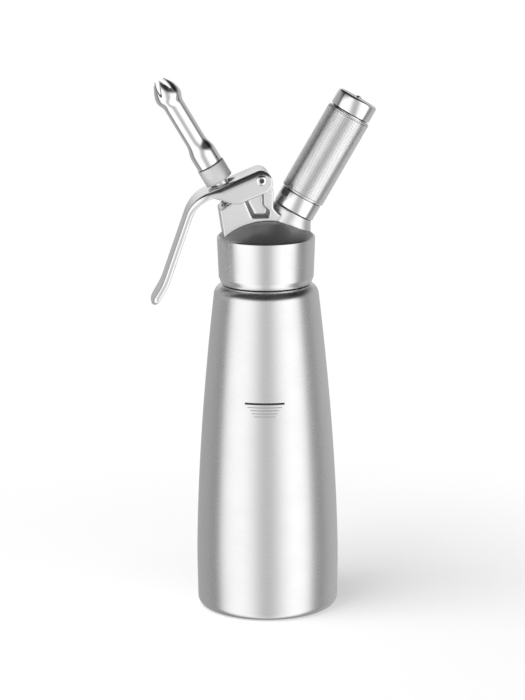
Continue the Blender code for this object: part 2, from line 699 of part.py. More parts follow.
def plate_crossing(lift, press):
    """How far along the lever the stem's axis passes a height of the plate."""
    low, high = stem_in_lever(0.0, press), stem_in_lever(ADAPTER_START, press)
    share = (lift - low[1]) / (high[1] - low[1])
    return low[0] + (high[0] - low[0]) * share


def make_lever():
    rings = [lever_ring(*station) for station in lever_stations()]
    lever = loft("lever", rings, "satin_casting", LEVER_PIVOT)
    inner = LEVER_HALF_WIDTH - CHEEK_THICKNESS
    far = BEND_START - PLATE_THICKNESS
    low = -CHEEK_DROP - OVERRUN
    corner = PLATE_THICKNESS
    under = [(-NOSE_REACH - OVERRUN, low), (-NOSE_REACH - OVERRUN, PLATE_LIFT + OVERRUN),
             (PLATE_NOTCH, PLATE_LIFT + OVERRUN), (PLATE_NOTCH, PLATE_UNDERSIDE),
             (far - corner, PLATE_UNDERSIDE), (far, PLATE_UNDERSIDE - corner), (far, low)]
    channel = slab("lever_channel", [to_world_xz(*point) for point in under], inner, frame=LEVER_PIVOT)
    combine(lever, channel)

    press = math.radians(LEVER_PRESS)
    crossings = [plate_crossing(lift, angle) for lift in (PLATE_LIFT, PLATE_UNDERSIDE)
                 for angle in (0.0, press)]
    play = STEM_RADIUS + 2 * GAP
    slot_start, slot_end = min(crossings), max(crossings)
    slot = rounded_slot("stem_slot", slot_start - play, slot_end + play, play, LEVER_PIVOT)
    combine(lever, slot)
    pin_hole = rod("lever_pin_hole", PIN_RADIUS + GAP, -LEVER_HALF_WIDTH - OVERRUN, LEVER_HALF_WIDTH + OVERRUN,
                   frame=LEVER_PIVOT)
    pin_hole.rotation_euler = (math.pi / 2, 0.0, 0.0)
    combine(lever, pin_hole)


def rounded_slot(name, start, end, radius, frame):
    """A cutter through the plate: a slot with round ends from start to end along the lever."""
    mesh = bpy.data.meshes.new(name)
    shape = bmesh.new()
    outline = arc((end - radius, 0.0), radius, -90, 90, 8) + arc((start + radius, 0.0), radius, 90, 270, 8)
    low, high = PLATE_UNDERSIDE - PLATE_THICKNESS, PLATE_LIFT + OVERRUN
    ring = []
    for along, y in outline:
        x, z = to_world_xz(along, low)
        ring.append(shape.verts.new((x, y, z)))
    face = shape.faces.new(ring)
    pulled = bmesh.ops.extrude_face_region(shape, geom=[face])
    moved = [item for item in pulled["geom"] if isinstance(item, bmesh.types.BMVert)]
    shift_x, shift_z = to_world_xz(0.0, high - low)
    bmesh.ops.translate(shape, verts=moved, vec=(shift_x, 0.0, shift_z))
    bmesh.ops.recalc_face_normals(shape, faces=shape.faces)
    shape.to_mesh(mesh)
    shape.free()
    return add_object(name, mesh, None, frame)


def domed_head(radius, low, height):
    """A low dome from its rim down to low, ending at the rim: points from the crown outwards."""
    return [(radius * math.sin(math.radians(a)), low + height * math.cos(math.radians(a)))
            for a in (0, 30, 55, 75, 90)]


def make_pin():
    """The hollow pin comes in from the rear, and a socket screw closes it at the front."""
    face = LEVER_HALF_WIDTH + GAP
    bush_end = CASTING_HALF - GAP / 3
    bush = turned("pivot_bush", [(PIN_RADIUS + GAP, -bush_end), (PIN_RADIUS + GAP, bush_end),
                                 (PIN_RADIUS + GAP + BUSH_WALL, bush_end),
                                 (PIN_RADIUS + GAP + BUSH_WALL, -bush_end)],
                  "white_bush", LEVER_PIVOT)
    rear = domed_head(PIN_HEAD_RADIUS, face, PIN_HEAD_HEIGHT)
    front_end = -face + 2 * GAP
    bore_end = front_end + PIN_BORE_DEPTH
    pin = turned("lever_pin", rear + [(PIN_RADIUS, face), (PIN_RADIUS, front_end),
                                      (PIN_BORE_RADIUS + GAP, front_end), (PIN_BORE_RADIUS + GAP, bore_end),
                                      (0.0, bore_end)],
                 "polished_steel", LEVER_PIVOT)
    shank_end = bore_end - 2 * GAP
    front = [(radius, -height) for radius, height in domed_head(PIN_HEAD_RADIUS, face, PIN_HEAD_HEIGHT)]
    screw = turned("lever_screw", [(0.0, shank_end), (PIN_BORE_RADIUS, shank_end), (PIN_BORE_RADIUS, -face)]
                   + list(reversed(front)), "polished_steel", LEVER_PIVOT)
    socket = turned("screw_socket", [(0.0, -face - PIN_HEAD_HEIGHT + SCREW_SOCKET_DEPTH),
                                     (SCREW_SOCKET_WIDTH / 2, -face - PIN_HEAD_HEIGHT + SCREW_SOCKET_DEPTH),
                                     (SCREW_SOCKET_WIDTH / 2, -face - OVERRUN), (0.0, -face - OVERRUN)],
                    frame=LEVER_PIVOT, steps=6)
    combine(screw, socket)
    for thing in (bush, pin, screw, socket):
        thing.rotation_euler = (-math.pi / 2, 0.0, 0.0)


# Valve arm

def collar_centre():
    """The centre of the collar's dome, set so that the plate's underside just clears the dome."""
    reach = PLATE_UNDERSIDE - COLLAR_DOME_RADIUS - GAP
    low, high = stem_in_lever(0.0, 0.0), stem_in_lever(ADAPTER_START, 0.0)
    share = (reach - low[1]) / (high[1] - low[1])
    return ADAPTER_START * share


def stem_travel_per_radian():
    """The travel that keeps the plate on the dome as the lever starts to turn."""
    along, _ = stem_in_lever(collar_centre(), 0.0)
    return along / math.cos(TILT - SLOPE)


def collar_rim_bottom():
    rise = math.sqrt(COLLAR_DOME_RADIUS ** 2 - COLLAR_RADIUS ** 2)
    return collar_centre() + rise - COLLAR_RIM


def make_stem():
    neck, shaft, thread = STEM_NECK_RADIUS, STEM_RADIUS, STEM_THREAD_RADIUS
    groove_low, groove_high = O_RING_HEIGHT - O_RING_GROOVE_HALF, O_RING_HEIGHT + O_RING_GROOVE_HALF
    thread_start = ADAPTER_START - GAP
    top = ADAPTER_START + STEM_THREAD_LENGTH
    bore_start = STEM_PORT_HEIGHT - STEM_PORT_RADIUS
    profile = [(0.0, bore_start), (STEM_BORE_RADIUS, bore_start), (STEM_BORE_RADIUS, top), (thread, top),
               (thread, thread_start), (shaft, thread_start), (shaft, groove_high),
               (O_RING_GROOVE_RADIUS, groove_high), (O_RING_GROOVE_RADIUS, groove_low), (shaft, groove_low),
               (shaft, STEM_GUIDE_START), (neck, STEM_GUIDE_START), (neck, STEM_FOOT), (0.0, STEM_FOOT)]
    stem = turned("valve_stem", profile, "polished_steel", NOZZLE_ARM)
    port = rod("stem_port", STEM_PORT_RADIUS, -STEM_RADIUS, STEM_RADIUS, frame=NOZZLE_ARM, steps=10)
    port.location.z = STEM_PORT_HEIGHT
    port.rotation_euler = (math.pi / 2, 0.0, 0.0)
    combine(stem, port)

    centre = collar_centre()
    hole = STEM_RADIUS + GAP
    dome = []
    for i in range(4):
        radius = hole + (COLLAR_RADIUS - hole) * i / 3
        dome.append((radius, centre + math.sqrt(COLLAR_DOME_RADIUS ** 2 - radius ** 2)))
    bottom = collar_rim_bottom()
    turned("stem_collar", [(hole, bottom)] + dome + [(COLLAR_RADIUS, bottom)], "polished_steel", NOZZLE_ARM)

    torus("stem_o_ring", O_RING_RADIUS, O_RING_WIRE, O_RING_HEIGHT, "black_rubber")
    seal_bore = STEM_NECK_RADIUS + GAP
    turned("valve_seal", chamfered_ring(seal_bore, SEAL_RADIUS, SEAL_BOTTOM, SEAL_TOP, SEAL_THICKNESS / 5),
           "pale_silicone", NOZZLE_ARM)
    nut = rod("valve_seal_nut", SEAL_NUT_RADIUS, SEAL_NUT_BOTTOM, SEAL_NUT_TOP,
              "polished_steel", NOZZLE_ARM, steps=6)
    nut_hole = rod("seal_nut_hole", seal_bore, STEM_FOOT - OVERRUN, SEAL_TOP, frame=NOZZLE_ARM)
    combine(nut, nut_hole)


def torus(name, radius, wire, height, finish):
    """A round-wire ring about the nozzle arm's axis."""
    bpy.ops.mesh.primitive_torus_add(major_radius=radius, minor_radius=wire, major_segments=SMALL_STEPS,
                                     minor_segments=6)
    primitive = bpy.context.object
    mesh = primitive.data
    bpy.data.objects.remove(primitive)
    mesh.name = name
    ring = add_object(name, mesh, finish, NOZZLE_ARM)
    ring.location.z = height


def make_spring():
    """A wire coil with close end turns, from the chamber floor to the collar."""
    low = CHAMBER_FLOOR + GAP + SPRING_WIRE
    high = collar_rim_bottom() - GAP - SPRING_WIRE
    dead_turn = 2 * SPRING_WIRE + 2 * GAP
    free_turns = SPRING_TURNS - 2
    pitch = (high - low - 2 * dead_turn) / free_turns
    points = []
    for i in range(int(SPRING_TURNS * SPRING_STEPS) + 1):
        turns = i / SPRING_STEPS
        middle = min(max(turns - 1, 0.0), free_turns)
        ends = min(turns, 1.0) + max(turns - 1 - free_turns, 0.0)
        height = low + ends * dead_turn + middle * pitch
        angle = math.tau * turns
        points.append(Vector((SPRING_RADIUS * math.cos(angle), SPRING_RADIUS * math.sin(angle), height)))
    curve = bpy.data.curves.new("valve_spring", "CURVE")
    curve.dimensions = "3D"
    line = curve.splines.new("POLY")
    line.points.add(len(points) - 1)
    for point, place in zip(line.points, points):
        point.co = (*place, 1.0)
    curve.bevel_depth = SPRING_WIRE
    curve.bevel_resolution = 1
    curve.use_fill_caps = True
    curve.materials.append(FINISH["spring_steel"])
    spring = bpy.data.objects.new("valve_spring", curve)
    spring.parent = NOZZLE_ARM
    PARTS.objects.link(spring)
    least = min((a - b).length for i, a in enumerate(points) for b in points[i + SPRING_STEPS // 2:])
    print("valve_spring: least gap between turns, mm:", round((least - 2 * SPRING_WIRE) * 1000, 2))


def make_adapter():
    bore = STEM_THREAD_RADIUS + GAP
    spigot_top = ADAPTER_TOP + ADAPTER_SPIGOT_LENGTH
    step = ADAPTER_START + STEM_THREAD_LENGTH + GAP
    profile = [(bore, ADAPTER_START), (bore, step), (ADAPTER_BORE_RADIUS, step),
               (ADAPTER_BORE_RADIUS, spigot_top), (ADAPTER_SPIGOT_RADIUS, spigot_top),
               (ADAPTER_SPIGOT_RADIUS, ADAPTER_TOP),
               (ADAPTER_RADIUS - ADAPTER_EDGE, ADAPTER_TOP), (ADAPTER_RADIUS, ADAPTER_TOP - ADAPTER_EDGE),
               (ADAPTER_RADIUS, ADAPTER_START + ADAPTER_EDGE),
               (ADAPTER_RADIUS - ADAPTER_EDGE, ADAPTER_START)]
    turned("nozzle_adapter", profile, "satin_casting", NOZZLE_ARM, steps=ROUND_STEPS)
    torus("nozzle_o_ring", ADAPTER_SPIGOT_RADIUS + GAP + NOZZLE_RING_WIRE, NOZZLE_RING_WIRE,
          ADAPTER_TOP + GAP + NOZZLE_RING_WIRE, "black_rubber")


def nozzle_outer(height):
    """Outer radius of the bulb at a height over the nozzle's foot."""
    if height < NOZZLE_BULB_WIDEST:
        share = (height - NOZZLE_BULB_START) / (NOZZLE_BULB_WIDEST - NOZZLE_BULB_START)
        smooth = share * share * (3 - 2 * share)
        return NOZZLE_TUBE_RADIUS + (NOZZLE_BULB_RADIUS - NOZZLE_TUBE_RADIUS) * smooth
    share = (height - NOZZLE_BULB_WIDEST) / (NOZZLE_LENGTH - NOZZLE_BULB_WIDEST)
    return NOZZLE_BULB_RADIUS - (NOZZLE_BULB_RADIUS - NOZZLE_TIP_RADIUS) * share ** 1.8


def make_nozzle():
    foot, wall = NOZZLE_START, NOZZLE_WALL
    cone_end = NOZZLE_BASE_LENGTH + NOZZLE_CONE_LENGTH
    thread_bore = ADAPTER_SPIGOT_RADIUS + GAP
    recess_radius = ADAPTER_SPIGOT_RADIUS + 2 * GAP + 2 * NOZZLE_RING_WIRE
    bore = NOZZLE_TUBE_RADIUS - wall
    thread_end = ADAPTER_SPIGOT_LENGTH + GAP
    spans = [NOZZLE_BULB_START + (NOZZLE_BULB_WIDEST - NOZZLE_BULB_START) * i / 3 for i in range(4)]
    spans += [NOZZLE_BULB_WIDEST + (NOZZLE_LENGTH - NOZZLE_BULB_WIDEST) * i / 5 for i in range(1, 6)]
    inside = [(recess_radius, 0.0), (recess_radius, NOZZLE_RECESS), (thread_bore, NOZZLE_RECESS),
              (thread_bore, thread_end), (bore, thread_end + thread_bore - bore)]
    inside += [(nozzle_outer(height) - wall, height) for height in spans]
    outside = [(nozzle_outer(height), height) for height in reversed(spans)]
    outside += [(NOZZLE_TUBE_RADIUS, cone_end), (NOZZLE_BASE_RADIUS, NOZZLE_BASE_LENGTH),
                (NOZZLE_BASE_RADIUS, 0.0)]
    nozzle = turned("nozzle_tip", inside + outside, "polished_steel", NOZZLE_ARM, steps=PETAL_STEPS)
    nozzle.location.z = foot

    middle = (PETAL_GAP_START + NOZZLE_LENGTH) / 2
    root = PETAL_GAP_ROOT_HALF
    top = NOZZLE_LENGTH + OVERRUN
    gap_outline = arc((0.0, PETAL_GAP_START + root), root, 180, 360, 6)
    gap_outline += [(PETAL_GAP_MID_HALF, middle), (PETAL_GAP_TIP_HALF, NOZZLE_LENGTH),
                    (PETAL_GAP_TIP_HALF, top), (-PETAL_GAP_TIP_HALF, top),
                    (-PETAL_GAP_TIP_HALF, NOZZLE_LENGTH), (-PETAL_GAP_MID_HALF, middle)]
    for i in range(PETALS // 2):
        cutter = slab(f"petal_gap_{i}", gap_outline, NOZZLE_BULB_RADIUS + OVERRUN, frame=NOZZLE_ARM)
        cutter.location.z = foot
        cutter.rotation_euler = (0.0, 0.0, (i + 0.5) * math.tau / PETALS)
        combine(nozzle, cutter)


# Charger arm

def make_inlet():
    stub_low = INLET_START - INLET_STUB_LENGTH
    thread_top = INLET_START + INLET_THREAD_LENGTH
    head_top = stub_low + PIERCING_PIN_HEAD_HEIGHT + GAP
    pin_hole = PIERCING_PIN_RADIUS + GAP
    recess = CHARGER_NECK_RADIUS + GAP
    floor = INLET_START + INLET_FLOOR
    profile = [(PIERCING_PIN_HEAD_RADIUS + GAP, stub_low), (PIERCING_PIN_HEAD_RADIUS + GAP, head_top),
               (pin_hole, head_top), (pin_hole, floor), (recess, floor), (recess, thread_top),
               (INLET_THREAD_RADIUS - HOLDER_EDGE, thread_top), (INLET_THREAD_RADIUS, thread_top - HOLDER_EDGE),
               (INLET_THREAD_RADIUS, INLET_START), (INLET_STUB_RADIUS, INLET_START),
               (INLET_STUB_RADIUS, stub_low)]
    turned("charger_inlet", profile, "polished_steel", CHARGER_ARM)

    pin_top = CHARGER_START + PIERCING_PIN_REACH
    pin_head_top = stub_low + PIERCING_PIN_HEAD_HEIGHT
    profile = [(PIERCING_BORE_RADIUS, stub_low), (PIERCING_BORE_RADIUS, pin_top),
               (2 * PIERCING_BORE_RADIUS, pin_top - GAP), (PIERCING_PIN_RADIUS, pin_top - PIERCING_PIN_RADIUS),
               (PIERCING_PIN_RADIUS, pin_head_top), (PIERCING_PIN_HEAD_RADIUS, pin_head_top),
               (PIERCING_PIN_HEAD_RADIUS, stub_low)]
    turned("piercing_pin", profile, "polished_steel", CHARGER_ARM, steps=12)
    turned("charger_seal", chamfered_ring(pin_hole, CHARGER_NECK_RADIUS, CHARGER_SEAL_START,
                                          CHARGER_SEAL_START + CHARGER_SEAL_THICKNESS,
                                          CHARGER_SEAL_THICKNESS / 6),
           "black_rubber", CHARGER_ARM)


def make_check_valve():
    head_top = SEAT_HEIGHT - GAP
    head_low = head_top - CHECK_SCREW_HEAD_HEIGHT
    stub_low = CHECK_STUB_BOTTOM
    profile = [(PASSAGE_RADIUS / 2, stub_low), (PASSAGE_RADIUS / 2, SEAT_HEIGHT + CHECK_SCREW_LENGTH),
               (CHECK_SCREW_RADIUS, SEAT_HEIGHT + CHECK_SCREW_LENGTH), (CHECK_SCREW_RADIUS, head_top),
               (CHECK_SCREW_HEAD_RADIUS, head_top), (CHECK_SCREW_HEAD_RADIUS, head_low),
               (CHECK_STUB_RADIUS, head_low), (CHECK_STUB_RADIUS, stub_low)]
    turned("check_valve_screw", profile, "polished_steel", CHARGER_ARM)
    turned("check_valve_sleeve",
           chamfered_ring(CHECK_STUB_RADIUS + GAP, CHECK_SLEEVE_RADIUS, stub_low, head_low - GAP,
                          CHECK_SLEEVE_WALL / 4),
           "black_rubber", CHARGER_ARM)


def make_charger():
    """A pierced steel bulb with its neck down, hollow inside."""
    neck_top = CHARGER_START + CHARGER_NECK_LENGTH
    end_centre = CHARGER_END - CHARGER_RADIUS

    def side(inset):
        inner_neck = CHARGER_NECK_RADIUS - inset
        points = [(inner_neck, neck_top)]
        for i in range(1, 4):
            share = i / 3
            smooth = share * share * (3 - 2 * share)
            points.append((inner_neck + (CHARGER_RADIUS - CHARGER_NECK_RADIUS) * smooth,
                           neck_top + CHARGER_SHOULDER * share))
        points += arc((0.0, end_centre), CHARGER_RADIUS - inset, 0, 68, 3)
        return points

    inner = [(0.0, CHARGER_END - CHARGER_WALL)] + list(reversed(side(CHARGER_WALL)))
    inner += [(CHARGER_NECK_RADIUS - CHARGER_WALL, CHARGER_START + CHARGER_WALL),
              (CHARGER_HOLE_RADIUS, CHARGER_START + CHARGER_WALL), (CHARGER_HOLE_RADIUS, CHARGER_START),
              (CHARGER_NECK_RADIUS, CHARGER_START)]
    outer = side(0.0) + [(0.0, CHARGER_END)]
    profile = list(reversed(inner + outer))
    turned("gas_charger", profile, "zinced_charger", CHARGER_ARM)


def make_holder():
    thread_bore = INLET_THREAD_RADIUS + GAP
    thread_end = HOLDER_START + HOLDER_THREAD_DEPTH
    ring_top = HOLDER_START + HOLDER_RING_LENGTH
    tube_top = END_CAP_START + END_CAP_THREAD_DEPTH
    tube_step = END_CAP_START - GAP
    threaded = HOLDER_TUBE_RADIUS - END_CAP_THREAD_STEP
    profile = [(thread_bore, HOLDER_START), (thread_bore, thread_end), (HOLDER_BORE_RADIUS, thread_end),
               (HOLDER_BORE_RADIUS, tube_top), (threaded, tube_top), (threaded, tube_step),
               (HOLDER_TUBE_RADIUS, tube_step), (HOLDER_TUBE_RADIUS, ring_top),
               (HOLDER_RING_RADIUS - HOLDER_EDGE, ring_top), (HOLDER_RING_RADIUS, ring_top - HOLDER_EDGE),
               (HOLDER_RING_RADIUS, HOLDER_START + HOLDER_EDGE),
               (HOLDER_RING_RADIUS - HOLDER_EDGE, HOLDER_START)]
    turned("holder_body", profile, "polished_steel", CHARGER_ARM, steps=ROUND_STEPS)
    turned("holder_grip", chamfered_ring(HOLDER_TUBE_RADIUS + GAP, GRIP_RADIUS, GRIP_START,
                                         GRIP_START + GRIP_LENGTH, GRIP_EDGE),
           "satin_casting", CHARGER_ARM, steps=ROUND_STEPS)

    cap_bore = threaded + GAP
    face_inner = CHARGER_END + GAP
    step_height = tube_top + GAP
    button_hole = BUTTON_STEM_RADIUS + GAP
    profile = [(cap_bore, END_CAP_START), (cap_bore, step_height), (HOLDER_BORE_RADIUS, step_height),
               (HOLDER_BORE_RADIUS, face_inner), (button_hole, face_inner), (button_hole, END_CAP_TOP),
               (END_CAP_RADIUS - HOLDER_EDGE, END_CAP_TOP), (END_CAP_RADIUS, END_CAP_TOP - HOLDER_EDGE),
               (END_CAP_RADIUS, END_CAP_START + HOLDER_EDGE), (END_CAP_RADIUS - HOLDER_EDGE, END_CAP_START)]
    turned("holder_end_cap", profile, "polished_steel", CHARGER_ARM, steps=ROUND_STEPS)
    button_low = END_CAP_TOP + GAP
    turned("cap_button", domed_head(BUTTON_RADIUS, button_low, BUTTON_HEIGHT)
           + [(BUTTON_STEM_RADIUS, button_low), (BUTTON_STEM_RADIUS, face_inner + GAP), (0.0, face_inner + GAP)],
           "polished_steel", CHARGER_ARM)


make_bottle()
make_cap()
make_casting()
make_lever()
make_pin()
make_stem()
make_spring()
make_adapter()
make_nozzle()
make_inlet()
make_check_valve()
make_charger()
make_holder()
print("stem travel per radian of lever, mm:", round(stem_travel_per_radian() * 1000, 4))
print("stem travel at full press, mm:", round(stem_travel_per_radian() * math.radians(LEVER_PRESS) * 1000, 3))
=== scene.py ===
# %% [markdown]
# # A whipped cream dispenser, dressed for the photograph
#
# The object is a steel pressure bottle with a domed screw-on head. On the head stands a satin casting that
# carries a squeeze lever, a tulip nozzle on the left arm and a knurled charger holder on the right arm.
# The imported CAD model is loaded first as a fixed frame. Every piece made here takes the place of one of its
# solids, at a higher resolution and with its own finish, and moves with the same body.

# %% Load the frame and keep its box
import math

import bmesh
import bpy
from mathutils import Matrix, Vector


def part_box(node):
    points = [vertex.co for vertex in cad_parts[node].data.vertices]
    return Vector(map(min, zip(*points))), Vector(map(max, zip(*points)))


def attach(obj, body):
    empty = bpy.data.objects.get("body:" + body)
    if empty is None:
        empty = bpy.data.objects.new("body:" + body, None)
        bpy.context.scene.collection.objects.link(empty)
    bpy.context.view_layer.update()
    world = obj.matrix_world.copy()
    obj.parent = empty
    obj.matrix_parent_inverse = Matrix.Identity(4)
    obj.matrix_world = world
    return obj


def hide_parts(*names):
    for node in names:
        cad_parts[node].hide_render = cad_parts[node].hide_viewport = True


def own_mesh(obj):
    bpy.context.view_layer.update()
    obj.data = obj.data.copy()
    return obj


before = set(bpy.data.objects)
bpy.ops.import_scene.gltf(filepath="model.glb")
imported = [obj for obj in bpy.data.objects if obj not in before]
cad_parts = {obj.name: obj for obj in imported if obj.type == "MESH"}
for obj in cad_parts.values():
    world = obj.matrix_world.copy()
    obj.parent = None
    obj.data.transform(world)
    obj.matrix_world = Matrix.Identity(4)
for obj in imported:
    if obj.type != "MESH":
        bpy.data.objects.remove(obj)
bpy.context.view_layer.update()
MM = 0.001

# %% [markdown]
# ## Where things are
#
# Both arms leave one root on the bottle's axis, 30.4 degrees to the left and to the right. A piece on an arm
# is made upright on its own axis first and then laid onto the arm with a matrix that goes into its mesh, so
# that the finished object itself stays at the origin. All sizes below are in millimetres.

# %% The frames of the pieces
TILT = math.radians(30.4)
ROOT = 195.3
PIN = (-3.5, 239.4)
UPRIGHT = Matrix.Identity(4)
NOZZLE_ARM = Matrix.Translation((0, 0, ROOT * MM)) @ Matrix.Rotation(-TILT, 4, "Y")
CHARGER_ARM = Matrix.Translation((0, 0, ROOT * MM)) @ Matrix.Rotation(TILT, 4, "Y")
ON_PIN = Matrix.Translation((PIN[0] * MM, 0, PIN[1] * MM)) @ Matrix.Rotation(-math.pi / 2, 4, "X")
print("arm directions:", [round(v, 4) for v in NOZZLE_ARM.col[2][:3]],
      [round(v, 4) for v in CHARGER_ARM.col[2][:3]])

# %% [markdown]
# ## Turning, rounding and cutting
#
# Most of the dispenser is turned on a lathe, so a profile of radius and height swept round an axis makes it.
# A Screw modifier would do the same, but building the rings directly closes the poles and gives full control
# of the steps. Real edges are never perfectly sharp: the corners of each profile are rounded a little, and
# these small rounds catch the thin lines of light that make metal look like metal.

# %% Helpers for profiles


def arc(centre, radius, start, end, count):
    """Points on a circle, from one angle to another in degrees."""
    angles = [math.radians(start + (end - start) * i / count) for i in range(count + 1)]
    return [(centre[0] + radius * math.cos(a), centre[1] + radius * math.sin(a)) for a in angles]


def softened(points, radius, closed=True, count=4):
    """The same outline with each corner turned into a small round."""
    result = []
    for i, point in enumerate(points):
        before, after = points[i - 1], points[(i + 1) % len(points)]
        corner = Vector(point)
        back, ahead = Vector(before) - corner, Vector(after) - corner
        end_point = not closed and i in (0, len(points) - 1)
        opening = 0.0 if end_point else back.angle(ahead, math.pi)
        if end_point or opening > math.radians(165):
            result.append(tuple(corner))
            continue
        reach = min(radius / math.tan(opening / 2), 0.45 * back.length, 0.45 * ahead.length)
        size = reach * math.tan(opening / 2)
        middle = corner + (back.normalized() + ahead.normalized()).normalized() * (size / math.sin(opening / 2))
        first = corner + back.normalized() * reach - middle
        last = corner + ahead.normalized() * reach - middle
        start = math.atan2(first.y, first.x)
        sweep = (math.atan2(last.y, last.x) - start + math.pi) % math.tau - math.pi
        for k in range(count + 1):
            angle = start + sweep * k / count
            result.append((middle.x + size * math.cos(angle), middle.y + size * math.sin(angle)))
    return result


def ring_section(inner, outer, low, high, edge):
    """The profile of a plain ring with broken edges."""
    return softened([(inner, low), (inner, high), (outer, high), (outer, low)], edge)


def mesh_of(name, shape, place=UPRIGHT):
    """A bmesh in millimetres turned into a mesh in metres, laid in its place, with smooth shading."""
    bmesh.ops.scale(shape, verts=shape.verts, vec=(MM, MM, MM))
    bmesh.ops.transform(shape, verts=shape.verts, matrix=place)
    bmesh.ops.recalc_face_normals(shape, faces=shape.faces)
    mesh = bpy.data.meshes.new(name)
    shape.to_mesh(mesh)
    shape.free()
    return mesh


def turned(name, profile, place=UPRIGHT, steps=128):
    """A turned piece. The profile is a closed loop, or a line that starts and ends on the axis."""
    shape = bmesh.new()
    rings = []
    for radius, height in profile:
        count = 1 if radius < 1e-6 else steps
        rings.append([shape.verts.new((radius * math.cos(math.tau * k / count),
                                       radius * math.sin(math.tau * k / count), height))
                      for k in range(count)])
    pairs = list(zip(rings, rings[1:]))
    if len(rings[0]) > 1:
        pairs.append((rings[-1], rings[0]))
    for low, high in pairs:
        for k in range(steps):
            corners = [low[k % len(low)], low[(k + 1) % len(low)],
                       high[(k + 1) % len(high)], high[k % len(high)]]
            corners = [corner for i, corner in enumerate(corners) if corner is not corners[i - 1]]
            if len(corners) > 2:
                shape.faces.new(corners)
    return mesh_of(name, shape, place)


def slab(name, outline, low, high, inner=None):
    """An outline of (x, z) points as a plate from one y to another, where it may taper to another outline."""
    shape = bmesh.new()
    front = [shape.verts.new((x, low, z)) for x, z in outline]
    rear = [shape.verts.new((x, high, z)) for x, z in inner or outline]
    shape.faces.new(front)
    shape.faces.new(list(reversed(rear)))
    for i in range(len(outline)):
        k = (i + 1) % len(outline)
        shape.faces.new((front[i], front[k], rear[k], rear[i]))
    return mesh_of(name, shape)


def rod(radius, low, high, place=UPRIGHT, steps=96):
    """A plain rod, used as a drill."""
    return turned("drill", [(0.0, low), (radius, low), (radius, high), (0.0, high)], place, steps)


def evaluated(thing):
    """The mesh that an object's modifiers give."""
    view = bpy.context.evaluated_depsgraph_get()
    view.update()
    return bpy.data.meshes.new_from_object(thing.evaluated_get(view), depsgraph=view)


def shaped(name, mesh, cut=(), join=(), voxel=0.0, smooth=0):
    """A mesh with others joined to it and cut out of it, remeshed into soft cast forms where asked."""
    thing = bpy.data.objects.new(name, mesh)
    bpy.context.scene.collection.objects.link(thing)
    tools = []
    for operation, tool_meshes in (("UNION", join), ("DIFFERENCE", cut)):
        for tool_mesh in tool_meshes:
            tool = bpy.data.objects.new(name + "_tool", tool_mesh)
            bpy.context.scene.collection.objects.link(tool)
            step = thing.modifiers.new("step", "BOOLEAN")
            step.operation, step.solver, step.object = operation, "EXACT", tool
            tools.append(tool)
    if voxel:
        remesh = thing.modifiers.new("remesh", "REMESH")
        remesh.mode, remesh.voxel_size = "VOXEL", voxel * MM
        relax = thing.modifiers.new("relax", "SMOOTH")
        relax.factor, relax.iterations = 0.5, smooth
    result = evaluated(thing)
    for gone in [thing] + tools:
        bpy.data.objects.remove(gone)
    result.name = name
    return result


print("a plain ring's profile has", len(ring_section(1.0, 2.0, 0.0, 3.0, 0.1)), "points with its rounds")

# %% [markdown]
# ## Node helpers and the shared effects
#
# Each finish below is a material of nodes. Effects that several metals share are node groups, built once:
# the fine rings that a lathe or a brush leaves, the brighter metal along worn edges, and the faint smudges
# of a used tool. A group puts out only masks and heights; the shader stays in the material.

# %% Helpers for nodes


def add(tree, kind, inputs=None, **settings):
    """A new node with its settings, and its inputs given as values or linked from sockets."""
    made = tree.nodes.new(kind)
    for key, value in settings.items():
        setattr(made, key, value)
    for key, value in (inputs or {}).items():
        if isinstance(value, bpy.types.NodeSocket):
            tree.links.new(value, made.inputs[key])
        else:
            made.inputs[key].default_value = value
    return made


def math_node(tree, operation, *values):
    return add(tree, "ShaderNodeMath", dict(enumerate(values)), operation=operation).outputs[0]


def new_group(name, kind, inputs, outputs):
    """A node group with named sockets. Each is (name, type) or (name, type, default)."""
    tree = bpy.data.node_groups.new(name, kind)
    for direction, sockets in (("INPUT", inputs), ("OUTPUT", outputs)):
        for label, socket_type, *default in sockets:
            socket = tree.interface.new_socket(label, in_out=direction, socket_type=socket_type)
            if default:
                socket.default_value = default[0]
    return tree, tree.nodes.new("NodeGroupInput"), tree.nodes.new("NodeGroupOutput")


# %% Ring grain, worn edges and smudges
WEAR_START, WEAR_FULL = 0.52, 0.60


def make_turned_grain():
    tree, given, result = new_group(
        "turned_grain", "ShaderNodeTree",
        [("Vector", "NodeSocketVector"), ("Rings", "NodeSocketFloat", 4000.0),
         ("Drift", "NodeSocketFloat", 3.0)],
        [("Height", "NodeSocketFloat"), ("Radius", "NodeSocketFloat")])
    parts = add(tree, "ShaderNodeSeparateXYZ", {0: given.outputs["Vector"]})
    x, y, z = parts.outputs
    radius = math_node(tree, "SQRT", math_node(tree, "ADD", math_node(tree, "MULTIPLY", x, x),
                                               math_node(tree, "MULTIPLY", y, y)))
    side = math_node(tree, "DIVIDE", x, math_node(tree, "MAXIMUM", radius, 1e-5))
    rings = given.outputs["Rings"]
    place = add(tree, "ShaderNodeCombineXYZ", {
        0: math_node(tree, "MULTIPLY", radius, rings), 1: math_node(tree, "MULTIPLY", z, rings),
        2: math_node(tree, "MULTIPLY", side, given.outputs["Drift"])})
    noise = add(tree, "ShaderNodeTexNoise", {"Vector": place.outputs[0], "Scale": 1.0, "Detail": 3.0,
                                             "Roughness": 0.65})
    tree.links.new(noise.outputs["Fac"], result.inputs["Height"])
    tree.links.new(radius, result.inputs["Radius"])
    return tree


